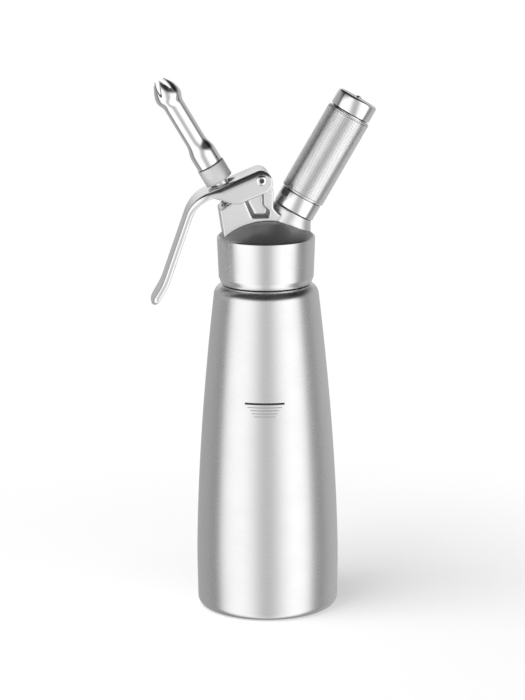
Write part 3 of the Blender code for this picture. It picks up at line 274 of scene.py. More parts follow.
def make_edge_wear():
    tree, given, result = new_group(
        "edge_wear", "ShaderNodeTree",
        [("Vector", "NodeSocketVector"), ("Start", "NodeSocketFloat", WEAR_START),
         ("Full", "NodeSocketFloat", WEAR_FULL)],
        [("Mask", "NodeSocketFloat")])
    geometry = add(tree, "ShaderNodeNewGeometry")
    edge = add(tree, "ShaderNodeMapRange", {"Value": geometry.outputs["Pointiness"],
                                            "From Min": given.outputs["Start"],
                                            "From Max": given.outputs["Full"]})
    broken = add(tree, "ShaderNodeTexNoise", {"Vector": given.outputs["Vector"], "Scale": 400.0, "Detail": 4.0})
    breakup = add(tree, "ShaderNodeMapRange", {"Value": broken.outputs["Fac"], "From Min": 0.35,
                                               "From Max": 0.6, "To Min": 0.35})
    tree.links.new(math_node(tree, "MULTIPLY", edge.outputs[0], breakup.outputs[0]), result.inputs["Mask"])
    return tree


def make_smudges():
    tree, given, result = new_group(
        "smudges", "ShaderNodeTree", [("Vector", "NodeSocketVector"), ("Scale", "NodeSocketFloat", 60.0)],
        [("Mask", "NodeSocketFloat"), ("Grain", "NodeSocketFloat")])
    cloud = add(tree, "ShaderNodeTexNoise", {"Vector": given.outputs["Vector"], "Scale": given.outputs["Scale"],
                                             "Detail": 5.0, "Roughness": 0.6})
    mask = add(tree, "ShaderNodeMapRange", {"Value": cloud.outputs["Fac"], "From Min": 0.42, "From Max": 0.68})
    speck = add(tree, "ShaderNodeTexNoise", {"Vector": given.outputs["Vector"], "Scale": 3500.0, "Detail": 2.0})
    tree.links.new(mask.outputs[0], result.inputs["Mask"])
    tree.links.new(speck.outputs["Fac"], result.inputs["Grain"])
    return tree


TURNED_GRAIN, EDGE_WEAR, SMUDGES = make_turned_grain(), make_edge_wear(), make_smudges()
print("shared effects:", [tree.name for tree in (TURNED_GRAIN, EDGE_WEAR, SMUDGES)])

# %% [markdown]
# ## The metals
#
# Stainless steel looks different only by how its surface was left: brushed in rings, blasted to a satin,
# or polished. One function therefore makes them all, from a colour, a roughness and the strength of the
# grain. A Mapping node turns the ring grain onto the arm's axis, because a holder is turned about its own
# axis and not about the bottle's.

# %% One function for every metal finish


def metal(name, colour, roughness, grain=0.0, rings=4000.0, place=None, wear=0.3, speckle=0.0,
          anisotropic=0.0, smudge=0.05):
    material = bpy.data.materials.new(name)
    material.use_nodes = True
    tree = material.node_tree
    shader = tree.nodes["Principled BSDF"]
    where = add(tree, "ShaderNodeTexCoord").outputs["Object"]
    if place is not None:
        where = add(tree, "ShaderNodeMapping", {"Vector": where, "Location": place.to_translation(),
                                                "Rotation": place.to_euler()}, vector_type="TEXTURE").outputs[0]
    turned_grain = add(tree, "ShaderNodeGroup", {"Vector": where, "Rings": rings}, node_tree=TURNED_GRAIN)
    worn = add(tree, "ShaderNodeGroup", {"Vector": where, "Start": WEAR_START, "Full": WEAR_FULL},
               node_tree=EDGE_WEAR)
    marks = add(tree, "ShaderNodeGroup", {"Vector": where}, node_tree=SMUDGES)
    lighter = [channel + (1 - channel) * 0.45 for channel in colour]
    darker = [channel * 0.96 for channel in colour]
    tone = add(tree, "ShaderNodeMix", {0: math_node(tree, "MULTIPLY", marks.outputs["Mask"], 0.5),
                                       6: (*colour, 1), 7: (*darker, 1)}, data_type="RGBA")
    tone = add(tree, "ShaderNodeMix", {0: math_node(tree, "MULTIPLY", worn.outputs["Mask"], wear),
                                       6: tone.outputs[2], 7: (*lighter, 1)}, data_type="RGBA")
    tree.links.new(tone.outputs[2], shader.inputs["Base Color"])
    ring_share = math_node(tree, "MULTIPLY_ADD", turned_grain.outputs["Height"], 2 * grain, -grain)
    mark_share = math_node(tree, "MULTIPLY_ADD", marks.outputs["Mask"], smudge, roughness)
    tree.links.new(math_node(tree, "ADD", ring_share, mark_share), shader.inputs["Roughness"])
    height = math_node(tree, "ADD", math_node(tree, "MULTIPLY", turned_grain.outputs["Height"], grain),
                       math_node(tree, "MULTIPLY", marks.outputs["Grain"], speckle))
    bump = add(tree, "ShaderNodeBump", {"Height": height, "Strength": 1.0, "Distance": 0.00002})
    tree.links.new(bump.outputs[0], shader.inputs["Normal"])
    shader.inputs["Metallic"].default_value = 1.0
    shader.inputs["Anisotropic"].default_value = anisotropic
    return material


BOTTLE_STEEL = metal("bottle_brushed", (0.79, 0.79, 0.795), 0.27, grain=0.05, rings=2600, anisotropic=0.45,
                     wear=0.0, smudge=0.02)
CAP_STEEL = metal("cap_brushed", (0.79, 0.79, 0.795), 0.23, grain=0.05, rings=3200, anisotropic=0.4, wear=0.25)
CASTING_SATIN = metal("casting_satin", (0.88, 0.88, 0.88), 0.34, speckle=0.5, wear=0.5, smudge=0.08)
LEVER_SATIN = metal("lever_satin", (0.88, 0.88, 0.88), 0.25, speckle=0.4, wear=0.5, smudge=0.08)
ADAPTER_SATIN = metal("adapter_satin", (0.84, 0.84, 0.84), 0.6, grain=0.10, place=NOZZLE_ARM, wear=0.4)
NOZZLE_POLISH = metal("nozzle_polished", (0.89, 0.89, 0.895), 0.13, grain=0.02, place=NOZZLE_ARM,
                      wear=0.2, smudge=0.03)
HOLDER_POLISH = metal("holder_polished", (0.86, 0.86, 0.865), 0.07, grain=0.02, place=CHARGER_ARM,
                      wear=0.2, smudge=0.03)
INNER_STEEL = metal("inner_turned", (0.78, 0.78, 0.785), 0.20, grain=0.06, place=CHARGER_ARM, wear=0.2)
VALVE_STEEL = metal("inner_turned_valve", (0.78, 0.78, 0.785), 0.18, grain=0.06, place=NOZZLE_ARM, wear=0.2)
PIN_STEEL = metal("pin_polished", (0.82, 0.82, 0.825), 0.16, grain=0.05, place=ON_PIN, wear=0.3)
SPRING_STEEL = metal("spring_wire", (0.55, 0.55, 0.56), 0.25, speckle=0.2, place=NOZZLE_ARM, wear=0.0)
ZINC = metal("zinced_bulb", (0.62, 0.63, 0.65), 0.30, grain=0.05, speckle=0.3, place=CHARGER_ARM,
             wear=0.3, smudge=0.15)
print("metals made:", len([m for m in bpy.data.materials if m.use_nodes]))

# %% [markdown]
# ## Soft materials
#
# The gasket and the valve's seal are pale silicone, the O-rings black rubber, and the post's bush is plain
# white plastic. They are dull, a little mottled and slightly pitted, which a noise in colour, roughness and
# bump shows well enough for pieces that are mostly hidden.

# %% Silicone, rubber and plastic


def soft(name, colour, roughness, mottle):
    material = bpy.data.materials.new(name)
    material.use_nodes = True
    tree = material.node_tree
    shader = tree.nodes["Principled BSDF"]
    where = add(tree, "ShaderNodeTexCoord").outputs["Object"]
    marks = add(tree, "ShaderNodeGroup", {"Vector": where, "Scale": 300.0}, node_tree=SMUDGES)
    shade = [channel * (1 - mottle) for channel in colour]
    tone = add(tree, "ShaderNodeMix", {0: marks.outputs["Mask"], 6: (*colour, 1), 7: (*shade, 1)},
               data_type="RGBA")
    tree.links.new(tone.outputs[2], shader.inputs["Base Color"])
    tree.links.new(math_node(tree, "MULTIPLY_ADD", marks.outputs["Mask"], 0.12, roughness),
                   shader.inputs["Roughness"])
    bump = add(tree, "ShaderNodeBump", {"Height": marks.outputs["Grain"], "Strength": 0.6, "Distance": 0.00002})
    tree.links.new(bump.outputs[0], shader.inputs["Normal"])
    return material


SILICONE = soft("silicone", (0.80, 0.79, 0.76), 0.55, 0.06)
RUBBER = soft("rubber", (0.03, 0.03, 0.03), 0.6, 0.3)
BUSH_PLASTIC = soft("bush_plastic", (0.86, 0.86, 0.84), 0.45, 0.03)
print("soft materials made:", [made.name for made in (SILICONE, RUBBER, BUSH_PLASTIC)])

# %% [markdown]
# ## Handing a piece over
#
# Each finished mesh becomes an object that rides on a CAD body, replaces its CAD solids and gets its
# material. The box of the piece is compared with the box of what it replaces, so a slip in a size shows at
# once in the printed line.

# %% One place where pieces join the frame


def hand_over(name, mesh, material, body, nodes, sharp=32):
    thing = bpy.data.objects.new(name, mesh)
    bpy.context.scene.collection.objects.link(thing)
    mesh.materials.clear()
    mesh.materials.append(material)
    mesh.polygons.foreach_set("material_index", [0] * len(mesh.polygons))
    mesh.polygons.foreach_set("use_smooth", [True] * len(mesh.polygons))
    mesh.set_sharp_from_angle(angle=math.radians(sharp))
    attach(thing, body)
    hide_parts(*nodes)
    lows, highs = zip(*(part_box(node) for node in nodes))
    off = 0.0
    for axis in range(3):
        values = [v.co[axis] for v in mesh.vertices]
        off = max(off, abs(min(values) - min(low[axis] for low in lows)),
                  abs(max(values) - max(high[axis] for high in highs)))
    mesh.calc_loop_triangles()
    print(f"{name}: {len(mesh.loop_triangles)} triangles, box within {off / MM:.2f} mm of the CAD's")
    return thing


# %% [markdown]
# ## Geometry Nodes helpers
#
# A Geometry Nodes tree is built like a material's tree. Its inputs are named, and a modifier sets them by
# the socket's identifier. The result is turned into a plain mesh straight away, so nothing live is left.

# %% Run a tree once and keep its mesh


def run_tree(name, tree, values, mesh=None):
    thing = bpy.data.objects.new(name, mesh or bpy.data.meshes.new(name))
    bpy.context.scene.collection.objects.link(thing)
    modifier = thing.modifiers.new("nodes", "NODES")
    modifier.node_group = tree
    for item in tree.interface.items_tree:
        if item.in_out == "INPUT" and item.name in values:
            modifier[item.identifier] = values[item.name]
    result = evaluated(thing)
    bpy.data.objects.remove(thing)
    result.name = name
    return result


# %% [markdown]
# ## The bottle
#
# The bottle is deep-drawn: a cup pressed from sheet, its side swelling gently below and drawing in towards
# the shoulder. That side follows one rule, a power of the height, so Geometry Nodes make it: the profile is
# given with a straight side, the tree draws it in by the rule, and then wraps a grid round the axis, taking
# each row's radius and height from the profile.

# %% The tree that draws in and turns a profile


def make_drawn_bottle():
    tree, given, result = new_group(
        "drawn_bottle", "GeometryNodeTree",
        [("Profile", "NodeSocketGeometry"), ("Steps", "NodeSocketInt", 256), ("Rows", "NodeSocketInt", 2),
         ("Low", "NodeSocketFloat", 0.0), ("High", "NodeSocketFloat", 1.0), ("Draw", "NodeSocketFloat", 0.0),
         ("Power", "NodeSocketFloat", 1.0), ("Material", "NodeSocketMaterial")],
        [("Geometry", "NodeSocketGeometry")])
    value = given.outputs
    point = add(tree, "ShaderNodeSeparateXYZ", {0: add(tree, "GeometryNodeInputPosition").outputs[0]})
    share = add(tree, "ShaderNodeMapRange", {"Value": point.outputs[2], "From Min": value["Low"],
                                             "From Max": value["High"]})
    draw = math_node(tree, "MULTIPLY", math_node(tree, "POWER", share.outputs[0], value["Power"]), value["Draw"])
    inside = math_node(tree, "LESS_THAN", point.outputs[2], math_node(tree, "ADD", value["High"], 1e-6))
    offset = add(tree, "ShaderNodeCombineXYZ", {0: math_node(tree, "MULTIPLY", draw, -1.0)})
    drawn = add(tree, "GeometryNodeSetPosition", {"Geometry": value["Profile"], "Selection": inside,
                                                  "Offset": offset.outputs[0]})
    around = math_node(tree, "ADD", value["Steps"], 1.0)
    grid = add(tree, "GeometryNodeMeshGrid", {"Size X": 1.0, "Size Y": 1.0, "Vertices X": around,
                                              "Vertices Y": value["Rows"]})
    spot = add(tree, "ShaderNodeSeparateXYZ", {0: add(tree, "GeometryNodeInputPosition").outputs[0]})
    angle = math_node(tree, "MULTIPLY_ADD", spot.outputs[0], math.tau, math.pi)
    last = math_node(tree, "SUBTRACT", value["Rows"], 1.0)
    row = math_node(tree, "ROUND", math_node(tree, "MULTIPLY", math_node(tree, "ADD", spot.outputs[1], 0.5), last))
    sample = add(tree, "GeometryNodeSampleIndex", data_type="FLOAT_VECTOR")
    tree.links.new(drawn.outputs[0], sample.inputs["Geometry"])
    tree.links.new(add(tree, "GeometryNodeInputPosition").outputs[0], sample.inputs["Value"])
    tree.links.new(row, sample.inputs["Index"])
    taken = add(tree, "ShaderNodeSeparateXYZ", {0: sample.outputs[0]})
    wrapped = add(tree, "ShaderNodeCombineXYZ", {
        0: math_node(tree, "MULTIPLY", taken.outputs[0], math_node(tree, "COSINE", angle)),
        1: math_node(tree, "MULTIPLY", taken.outputs[0], math_node(tree, "SINE", angle)),
        2: taken.outputs[2]})
    turned_round = add(tree, "GeometryNodeSetPosition", {"Geometry": grid.outputs[0],
                                                         "Position": wrapped.outputs[0]})
    closed = add(tree, "GeometryNodeMergeByDistance", {"Geometry": turned_round.outputs[0], "Distance": 2e-6})
    real = add(tree, "GeometryNodeRealizeInstances", {0: closed.outputs[0]})
    painted = add(tree, "GeometryNodeSetMaterial", {"Geometry": real.outputs[0], "Material": value["Material"]})
    tree.links.new(painted.outputs[0], result.inputs[0])
    return tree


BOTTLE_TREE = make_drawn_bottle()
print("nodes in the bottle's tree:", len(BOTTLE_TREE.nodes))

# %% The bottle's profile, with a straight side
BELLY, SHOULDER, DRAW_POWER = (39.05, 26.0), (28.7, 174.5), 1.68
NECK, NECK_TOP, SHOULDER_TOP, WALL = 20.6, 200.6, 181.4, 1.0
FOOT_RADIUS, FOOT_ROUND, INSIDE_FLOOR = 38.7, 4.5, 2.4


def bottle_side(inset, count):
    """From the neck's root down to the base corner, with the side left straight at the belly's radius."""
    root = NECK + 0.9
    points = []
    for i in range(count + 1):
        turn = math.radians(90 - 90 * i / count)
        points.append((root + (SHOULDER[0] - root - inset) * math.cos(turn),
                       SHOULDER[1] + (SHOULDER_TOP - SHOULDER[1] - inset) * math.sin(turn)))
    points[-1] = (BELLY[0] - inset, SHOULDER[1])
    heights = [SHOULDER[1] + (BELLY[1] - SHOULDER[1]) * i / 44 for i in range(1, 45)]
    return points + [(BELLY[0] - inset, height) for height in heights]


foot = FOOT_RADIUS - FOOT_ROUND
inside_round = FOOT_ROUND - WALL
inside = [(0.0, INSIDE_FLOOR)] + arc((foot, INSIDE_FLOOR + inside_round), inside_round, -90, 0, 8)
inside += list(reversed(bottle_side(WALL, 12)))
inside += [(NECK - WALL, SHOULDER_TOP + 0.5), (NECK - WALL, NECK_TOP - 0.3)]
lip = arc((NECK - WALL / 2, NECK_TOP - 0.5), WALL / 2, 180, 0, 8)
outside = [(NECK, SHOULDER_TOP + 0.9)] + arc((NECK + 0.9, SHOULDER_TOP + 0.9), 0.9, 190, 260, 5)
outside += bottle_side(0.0, 20) + arc((foot, FOOT_ROUND), FOOT_ROUND, 0, -90, 14)
outside += softened([(foot, 0.0), (29.7, 0.0), (28.7, 1.0), (19.0, 1.0), (18.0, 0.0), (0.0, 0.0)], 0.4,
                    closed=False)[1:]
profile = inside + lip[1:] + outside
profile_mesh = bpy.data.meshes.new("bottle_profile")
profile_mesh.from_pydata([(r * MM, 0.0, z * MM) for r, z in profile],
                         [(i, i + 1) for i in range(len(profile) - 1)], [])
drawn = run_tree("bottle_shell", BOTTLE_TREE, {
    "Steps": 240, "Rows": len(profile), "Low": BELLY[1] * MM, "High": SHOULDER[1] * MM,
    "Draw": (BELLY[0] - SHOULDER[0]) * MM, "Power": DRAW_POWER, "Material": BOTTLE_STEEL},
    profile_mesh)
shape = bmesh.new()
shape.from_mesh(drawn)
bmesh.ops.recalc_face_normals(shape, faces=shape.faces)
shape.to_mesh(drawn)
shape.free()
hand_over("bottle_shell", drawn, BOTTLE_STEEL, "bottle", ["bottle_body"])

# %% [markdown]
# ## Screw threads
#
# A thread is one ridge that winds up its core. A spiral swept with a small round section makes it, and the
# same tree serves the neck, the nozzle's spigot, the charger's nipple and the stem, each with its own pitch.
# The ridge stays under the CAD's outer radius, so the running gaps of the frame are kept.

# %% The tree that winds a thread


def make_thread_tree():
    tree, given, result = new_group(
        "screw_thread", "GeometryNodeTree",
        [("Core", "NodeSocketGeometry"), ("Radius", "NodeSocketFloat"), ("Pitch", "NodeSocketFloat"),
         ("Turns", "NodeSocketFloat"), ("Ridge", "NodeSocketFloat"), ("Start", "NodeSocketFloat"),
         ("Material", "NodeSocketMaterial")],
        [("Geometry", "NodeSocketGeometry")])
    value = given.outputs
    spiral = add(tree, "GeometryNodeCurveSpiral", {
        "Resolution": 72, "Rotations": value["Turns"], "Start Radius": value["Radius"],
        "End Radius": value["Radius"], "Height": math_node(tree, "MULTIPLY", value["Pitch"], value["Turns"])})
    section = add(tree, "GeometryNodeCurvePrimitiveCircle", {"Resolution": 10, "Radius": value["Ridge"]})
    swept = add(tree, "GeometryNodeCurveToMesh", {"Curve": spiral.outputs[0], "Profile Curve": section.outputs[0],
                                                  "Fill Caps": True})
    lift = add(tree, "ShaderNodeCombineXYZ", {2: value["Start"]})
    lifted = add(tree, "GeometryNodeTransform", {"Geometry": swept.outputs[0], "Translation": lift.outputs[0]})
    joined = add(tree, "GeometryNodeJoinGeometry")
    tree.links.new(value["Core"], joined.inputs[0])
    tree.links.new(lifted.outputs[0], joined.inputs[0])
    real = add(tree, "GeometryNodeRealizeInstances", {0: joined.outputs[0]})
    painted = add(tree, "GeometryNodeSetMaterial", {"Geometry": real.outputs[0], "Material": value["Material"]})
    tree.links.new(painted.outputs[0], result.inputs[0])
    return tree


THREAD_TREE = make_thread_tree()
print("nodes in the thread's tree:", len(THREAD_TREE.nodes))


def threaded(name, core, place, radius, pitch, low, high, ridge, material):
    """A turned core, still upright, with a thread between two heights, then laid on its arm."""
    mesh = run_tree(name, THREAD_TREE, {
        "Radius": (radius - ridge) * MM, "Pitch": pitch * MM, "Turns": (high - low - 2 * ridge) / pitch,
        "Ridge": ridge * MM, "Start": (low + ridge) * MM, "Material": material}, core)
    mesh.transform(place)
    return mesh


# %% The thread ring on the neck
THREAD_LOW, THREAD_HIGH, THREAD_PITCH = 185.1, 198.6, 3.0
core = turned("neck_core", ring_section(20.9, 21.7, THREAD_LOW, THREAD_HIGH, 0.2), steps=192)
ring = threaded("neck_thread", core, UPRIGHT, 22.3, THREAD_PITCH, THREAD_LOW, THREAD_HIGH, 0.75, BOTTLE_STEEL)
hand_over("neck_thread", ring, BOTTLE_STEEL, "bottle", ["neck_thread_ring"])

gasket = turned("gasket", ring_section(17.7, 22.3, 200.9, 203.2, 0.5), steps=160)
hand_over("gasket", gasket, SILICONE, "gasket", ["head_gasket"])

# %% [markdown]
# ## The cap
#
# The head's cap is turned from bar: a short skirt that widens a little upwards, a chamfered lip that ends
# close over the bottle's shoulder, and a shallow dome. The casting is screwed onto the dome, so the dome has
# two flat seats and the bores of the valve and of the gas way. They are drilled here as on the real cap, with
# rods along the two arms.

# %% The turned cap with its seats and bores
RIM, LIP, DOME, DOME_CENTRE = 206.6, 181.2, 37.306, 180.494
CAP_RADIUS, CAP_BORE, CAP_ROOF = 26.65, 22.6, 203.5
SEAT, SEAT_RADIUS, VALVE_BORE, GAS_BORE = 14.054, 7.8, 4.3, 5.3


def dome_line(rim, sphere, count):
    """The dome's arc from its rim up to the axis."""
    radii = [rim * (1 - i / count) for i in range(count + 1)]
    return [(radius, DOME_CENTRE + math.sqrt(sphere ** 2 - radius ** 2)) for radius in radii]


skirt = softened([(CAP_BORE, 182.4), (22.9, 182.0), (23.4, 181.75), (24.45, LIP), (25.85, 185.0),
                  (25.95, 187.65)], 0.45, closed=False)[1:]
skirt += [(25.85 + 0.8 * i / 8, 185.0 + 21.2 * i / 8) for i in range(2, 8)]
dome = dome_line(CAP_RADIUS, DOME, 30)[1:]
rim_corner = softened([skirt[-1], (CAP_RADIUS, RIM), dome[0]], 0.7, closed=False)[1:-1]
hollow = softened([(17.2, 202.9), (17.2, CAP_ROOF), (CAP_BORE, CAP_ROOF), (CAP_BORE, 182.4)], 0.2, closed=False)
cap_line = [(0.0, 202.9)] + hollow + skirt + rim_corner + dome
drills = [rod(SEAT_RADIUS, -11.3, SEAT, NOZZLE_ARM), rod(SEAT_RADIUS, -11.3, SEAT, CHARGER_ARM),
          rod(VALVE_BORE, 10.0, 30.4, NOZZLE_ARM), rod(GAS_BORE, 22.3, 33.3, CHARGER_ARM),
          rod(1.6, 10.0, 26.3, CHARGER_ARM), rod(3.0, 10.0, 19.9, CHARGER_ARM)]
cap = shaped("cap_turned", turned("cap", cap_line, steps=240), cut=drills)
hand_over("cap_turned", cap, CAP_STEEL, "head", ["head_cap"])

# %% [markdown]
# ## The casting
#
# The valve body is a casting: a V of two bosses with the lever's post between them, hollowed by a pocket on
# each side, and every corner runs into the next with a soft fillet. Bevels can't round a shape that is made
# of crossing solids, so it is built from an outline and rods first, then remeshed finely and relaxed, which
# melts all its corners alike, as casting and blasting do. The pockets taper inwards, as a mould needs it.

# %% The casting
CASTING_HALF, FOOT_MIDDLE, BOSS_RADIUS = 9.8, 12.9, 11.4
POCKET_MOUTH, POCKET_BOTTOM = 10.4, 6.2
VOXEL = 0.33


def on_arm(side, height, across):
    """X and Z of a point on an arm: side is -1 for the nozzle arm and 1 for the charger arm."""
    return (side * (height * math.sin(TILT) + across * math.cos(TILT)),
            ROOT + height * math.cos(TILT) - across * math.sin(TILT))


left_post, right_post = PIN[0] - 6.9, PIN[0] + 6.7
outline = [(-22.6, 203.0), on_arm(-1, 37.0, 8.0), on_arm(-1, 37.0, -6.6), (left_post, PIN[1] - 9.8)]
outline += arc(PIN, 4.05, 180, 0, 16)
outline += [(right_post, PIN[1] - 6.2), (right_post, PIN[1] - 15.8), (right_post + 2.2, PIN[1] - 18.4),
            (9.5, 217.0), (FOOT_MIDDLE, 213.5), (FOOT_MIDDLE, 203.0)]
pocket_rim = softened([(-14.3, 231.8), (-1.9, 231.8), (-1.7, 225.4), (2.0, 221.5), (1.6, 218.2),
                       (-9.1, 218.2)], 0.9)
pocket_floor = softened([(-12.1, 231.8), (-2.6, 231.8), (-2.6, 225.2), (-0.6, 223.2), (-1.5, 220.2),
                         (-6.5, 220.2)], 0.9)
pockets = [slab("pocket", pocket_rim, side * POCKET_MOUTH, side * POCKET_BOTTOM, inner=pocket_floor)
           for side in (-1, 1)]
body = slab("casting", softened(outline, 1.0), -CASTING_HALF, CASTING_HALF)
boss = rod(BOSS_RADIUS, SEAT, 29.3, CHARGER_ARM)
boss_foot = rod(BOSS_RADIUS, 203.0, 214.3, Matrix.Translation((FOOT_MIDDLE * MM, 0, 0)))
seat_line = [(0.0, 199.0), (30.65, 199.0)] + dome_line(30.65, DOME + 0.04, 24)
cuts = [turned("seat", seat_line, steps=160), rod(VALVE_BORE, SEAT, 30.4, NOZZLE_ARM),
        rod(6.2, 26.4, 41.0, NOZZLE_ARM), rod(GAS_BORE, SEAT, 33.3, CHARGER_ARM),
        rod(3.4, -14.0, 14.0, ON_PIN)] + pockets
casting = shaped("casting", body, cut=cuts, join=[boss, boss_foot], voxel=VOXEL, smooth=16)
hand_over("casting", casting, CASTING_SATIN, "head", ["head_casting"], sharp=60)

# %% [markdown]
# ## The lever
#
# The lever is one casting too: a channel over the post, a bend, and a flat handle that kicks out at its end.
# It is lofted through many cross-sections whose top follows one curve, and then the channel, the slot for
# the stem and the pin's hole are cut. The same remeshing as the casting's gives it soft edges.

# %% The lever's sections
SLOPE = math.radians(22.4)
PLATE_LIFT, CHEEK_DROP, HANDLE, HALF, HANDLE_HALF, ROOF = 5.04, 7.3, 3.6, 12.6, 9.2, 4.3
NOSE, CHEEK_END, PLATE_END, BEND_RADIUS, STRAIGHT, KICK_RADIUS, END_LENGTH = 5.6, 15.0, 29.3, 20.0, 37.0, 25.0, 11.0
BEND, KICK = math.radians(48.1), math.radians(11.0)
PLATE_UNDER, SLOT_HALF = 3.04, 4.6


def lever_xz(along, up):
    """From the lever's own axes, along the plate and square to it, to X and Z."""
    return (PIN[0] - along * math.cos(SLOPE) - up * math.sin(SLOPE),
            PIN[1] - along * math.sin(SLOPE) + up * math.cos(SLOPE))


def eased(share):
    share = min(max(share, 0.0), 1.0)
    return share * share * (3 - 2 * share)


def step_along(point, heading, distance):
    return point[0] + distance * math.cos(heading), point[1] - distance * math.sin(heading)


def lever_sections():
    sections = []
    middle, reach = (PLATE_LIFT - CHEEK_DROP) / 2, (PLATE_LIFT + CHEEK_DROP) / 2
    for angle in (8, 16, 24, 33, 43, 53, 63, 72, 81, 90):
        turn = math.radians(angle)
        along, high = -NOSE * math.cos(turn), reach * math.sin(turn)
        sections.append(((along, middle + high), (along, middle - high), HALF))
    for i in range(1, 24):
        along = PLATE_END * i / 24
        low = eased((along - CHEEK_END) / (PLATE_END - CHEEK_END))
        low = -CHEEK_DROP + (PLATE_LIFT - HANDLE + CHEEK_DROP) * low
        sections.append(((along, PLATE_LIFT), (along, low), HALF))

    def across(point, heading, width, thickness=HANDLE):
        shift = (HANDLE - thickness) / 2
        top = (point[0] - math.sin(heading) * shift, point[1] - math.cos(heading) * shift)
        low = (top[0] - math.sin(heading) * thickness, top[1] - math.cos(heading) * thickness)
        sections.append((top, low, width))

    for i in range(19):
        heading = BEND * i / 18
        point = (PLATE_END + BEND_RADIUS * math.sin(heading), PLATE_LIFT - BEND_RADIUS * (1 - math.cos(heading)))
        across(point, heading, HALF + (HANDLE_HALF - HALF) * eased(i / 18))
    for _ in range(12):
        point = step_along(point, BEND, STRAIGHT / 12)
        across(point, BEND, HANDLE_HALF)
    heading = BEND
    for _ in range(9):
        heading -= KICK / 9
        point = step_along(point, heading + KICK / 18, KICK_RADIUS * KICK / 9)
        across(point, heading, HANDLE_HALF)
    start = point = step_along(point, heading, END_LENGTH - HANDLE_HALF / 2)
    across(point, heading, HANDLE_HALF)
    for angle in (15, 30, 43, 55, 65, 74, 81, 86):
        turn = math.radians(angle)
        point = step_along(start, heading, math.sin(turn) * HANDLE_HALF / 2)
        across(point, heading, HANDLE_HALF * (1 + 2 * math.cos(turn)) / 3, HANDLE * (1 + 3 * math.cos(turn)) / 4)
    return sections


def lever_ring(top, low, width):
    """One cross-section with round upper corners and lightly broken lower ones."""
    height = math.dist(top, low)
    upper, lower = min(3.6, 0.47 * height), min(0.8, 0.30 * height)
    half = [(width - upper + upper * math.sin(a), height - upper + upper * math.cos(a))
            for a in [math.radians(15 * k) for k in range(7)]]
    half += [(width, lower), (width - 0.3 * lower, 0.3 * lower), (width - lower, 0.0)]
    ring = []
    for y, lift in half + [(-y, z) for y, z in reversed(half)]:
        share = lift / height
        x, z = lever_xz(low[0] + (top[0] - low[0]) * share, low[1] + (top[1] - low[1]) * share)
        ring.append((x, y, z))
    return ring


print("cross-sections of the lever:", len(lever_sections()))

# %% The lever, lofted, cut and relaxed
shape = bmesh.new()
rows = [[shape.verts.new(point) for point in lever_ring(*section)] for section in lever_sections()]
for row, following in zip(rows, rows[1:]):
    for i in range(len(row)):
        k = (i + 1) % len(row)
        shape.faces.new((row[i], row[k], following[k], following[i]))
shape.faces.new(rows[0])
shape.faces.new(list(reversed(rows[-1])))
blank = mesh_of("lever", shape)
roof = arc((0.0, 0.0), ROOF, 175, math.degrees(math.asin(PLATE_UNDER / ROOF)), 16)
under = [(-9.6, -11.3), (-9.6, 0.3)] + roof + [(25.3, PLATE_UNDER), (27.3, PLATE_UNDER - 2.0), (27.3, -11.3)]
channel = slab("channel", [lever_xz(*point) for point in under], -10.1, 10.1)
slot_line = arc((21.6, 0.0), SLOT_HALF, -90, 90, 16) + arc((17.0, 0.0), SLOT_HALF, 90, 270, 16)
shape = bmesh.new()
ends = [[shape.verts.new((lever_xz(along, up)[0], y, lever_xz(along, up)[1])) for along, y in slot_line]
        for up in (1.0, 9.0)]
for i in range(len(slot_line)):
    k = (i + 1) % len(slot_line)
    shape.faces.new((ends[0][i], ends[0][k], ends[1][k], ends[1][i]))
shape.faces.new(ends[0])
shape.faces.new(list(reversed(ends[1])))
lever = shaped("lever_cast", blank, cut=[channel, mesh_of("slot", shape), rod(2.3, -17.0, 17.0, ON_PIN)],
               voxel=VOXEL, smooth=6)
hand_over("lever_cast", lever, LEVER_SATIN, "lever", ["lever"], sharp=60)

# %% [markdown]
# ## The lever's pin
#
# A hollow pin with a low domed head comes in from the rear, and a socket screw closes it at the front. The
# six-sided socket is cut with a six-stepped rod, and the dome's edge is rounded.

# %% Pin, screw and bush


def dome_head(radius, low, height, count=9):
    return [(radius * math.sin(math.radians(90 * i / count)), low + height * math.cos(math.radians(90 * i / count)))
            for i in range(count + 1)]


face = HALF + 0.3
outside_face = -face - 3.0
SOCKET, SOCKET_CONE = 1.4, 1.75
pin_line = (dome_head(3.0, face, 1.2) + softened([(3.0, face), (2.0, face), (2.0, -face + 0.6), (1.5, -face + 0.6),
                                                  (1.5, -face + 10.6), (0.0, -face + 10.6)], 0.1, closed=False)[1:])
hand_over("pin", turned("pin", pin_line, ON_PIN, 64), PIN_STEEL, "lever", ["lever_pin"])
screw_line = [(0.0, -face + 10.0), (1.2, -face + 10.0), (1.2, -face)]
screw_line += list(reversed([(r, -z) for r, z in dome_head(2.98, face, 1.2)]))
socket_line = [(0.0, -face - 0.1), (SOCKET, -face - 0.1), (SOCKET, outside_face), (0.0, outside_face)]
cone_line = [(0.0, -face - 0.2), (SOCKET_CONE, -face - 1.35), (SOCKET_CONE, outside_face), (0.0, outside_face)]
socket, cone = turned("socket", socket_line, ON_PIN, 6), turned("cone", cone_line, ON_PIN, 48)
screw = shaped("pin_screw", turned("pin_screw", screw_line, ON_PIN, 96), cut=[socket, cone])
hand_over("pin_screw", screw, PIN_STEEL, "lever", ["lever_screw"])
bush = turned("bush", ring_section(2.3, 3.1, -9.7, 9.7, 0.15), ON_PIN, 64)
hand_over("bush", bush, BUSH_PLASTIC, "head", ["pivot_bush"])
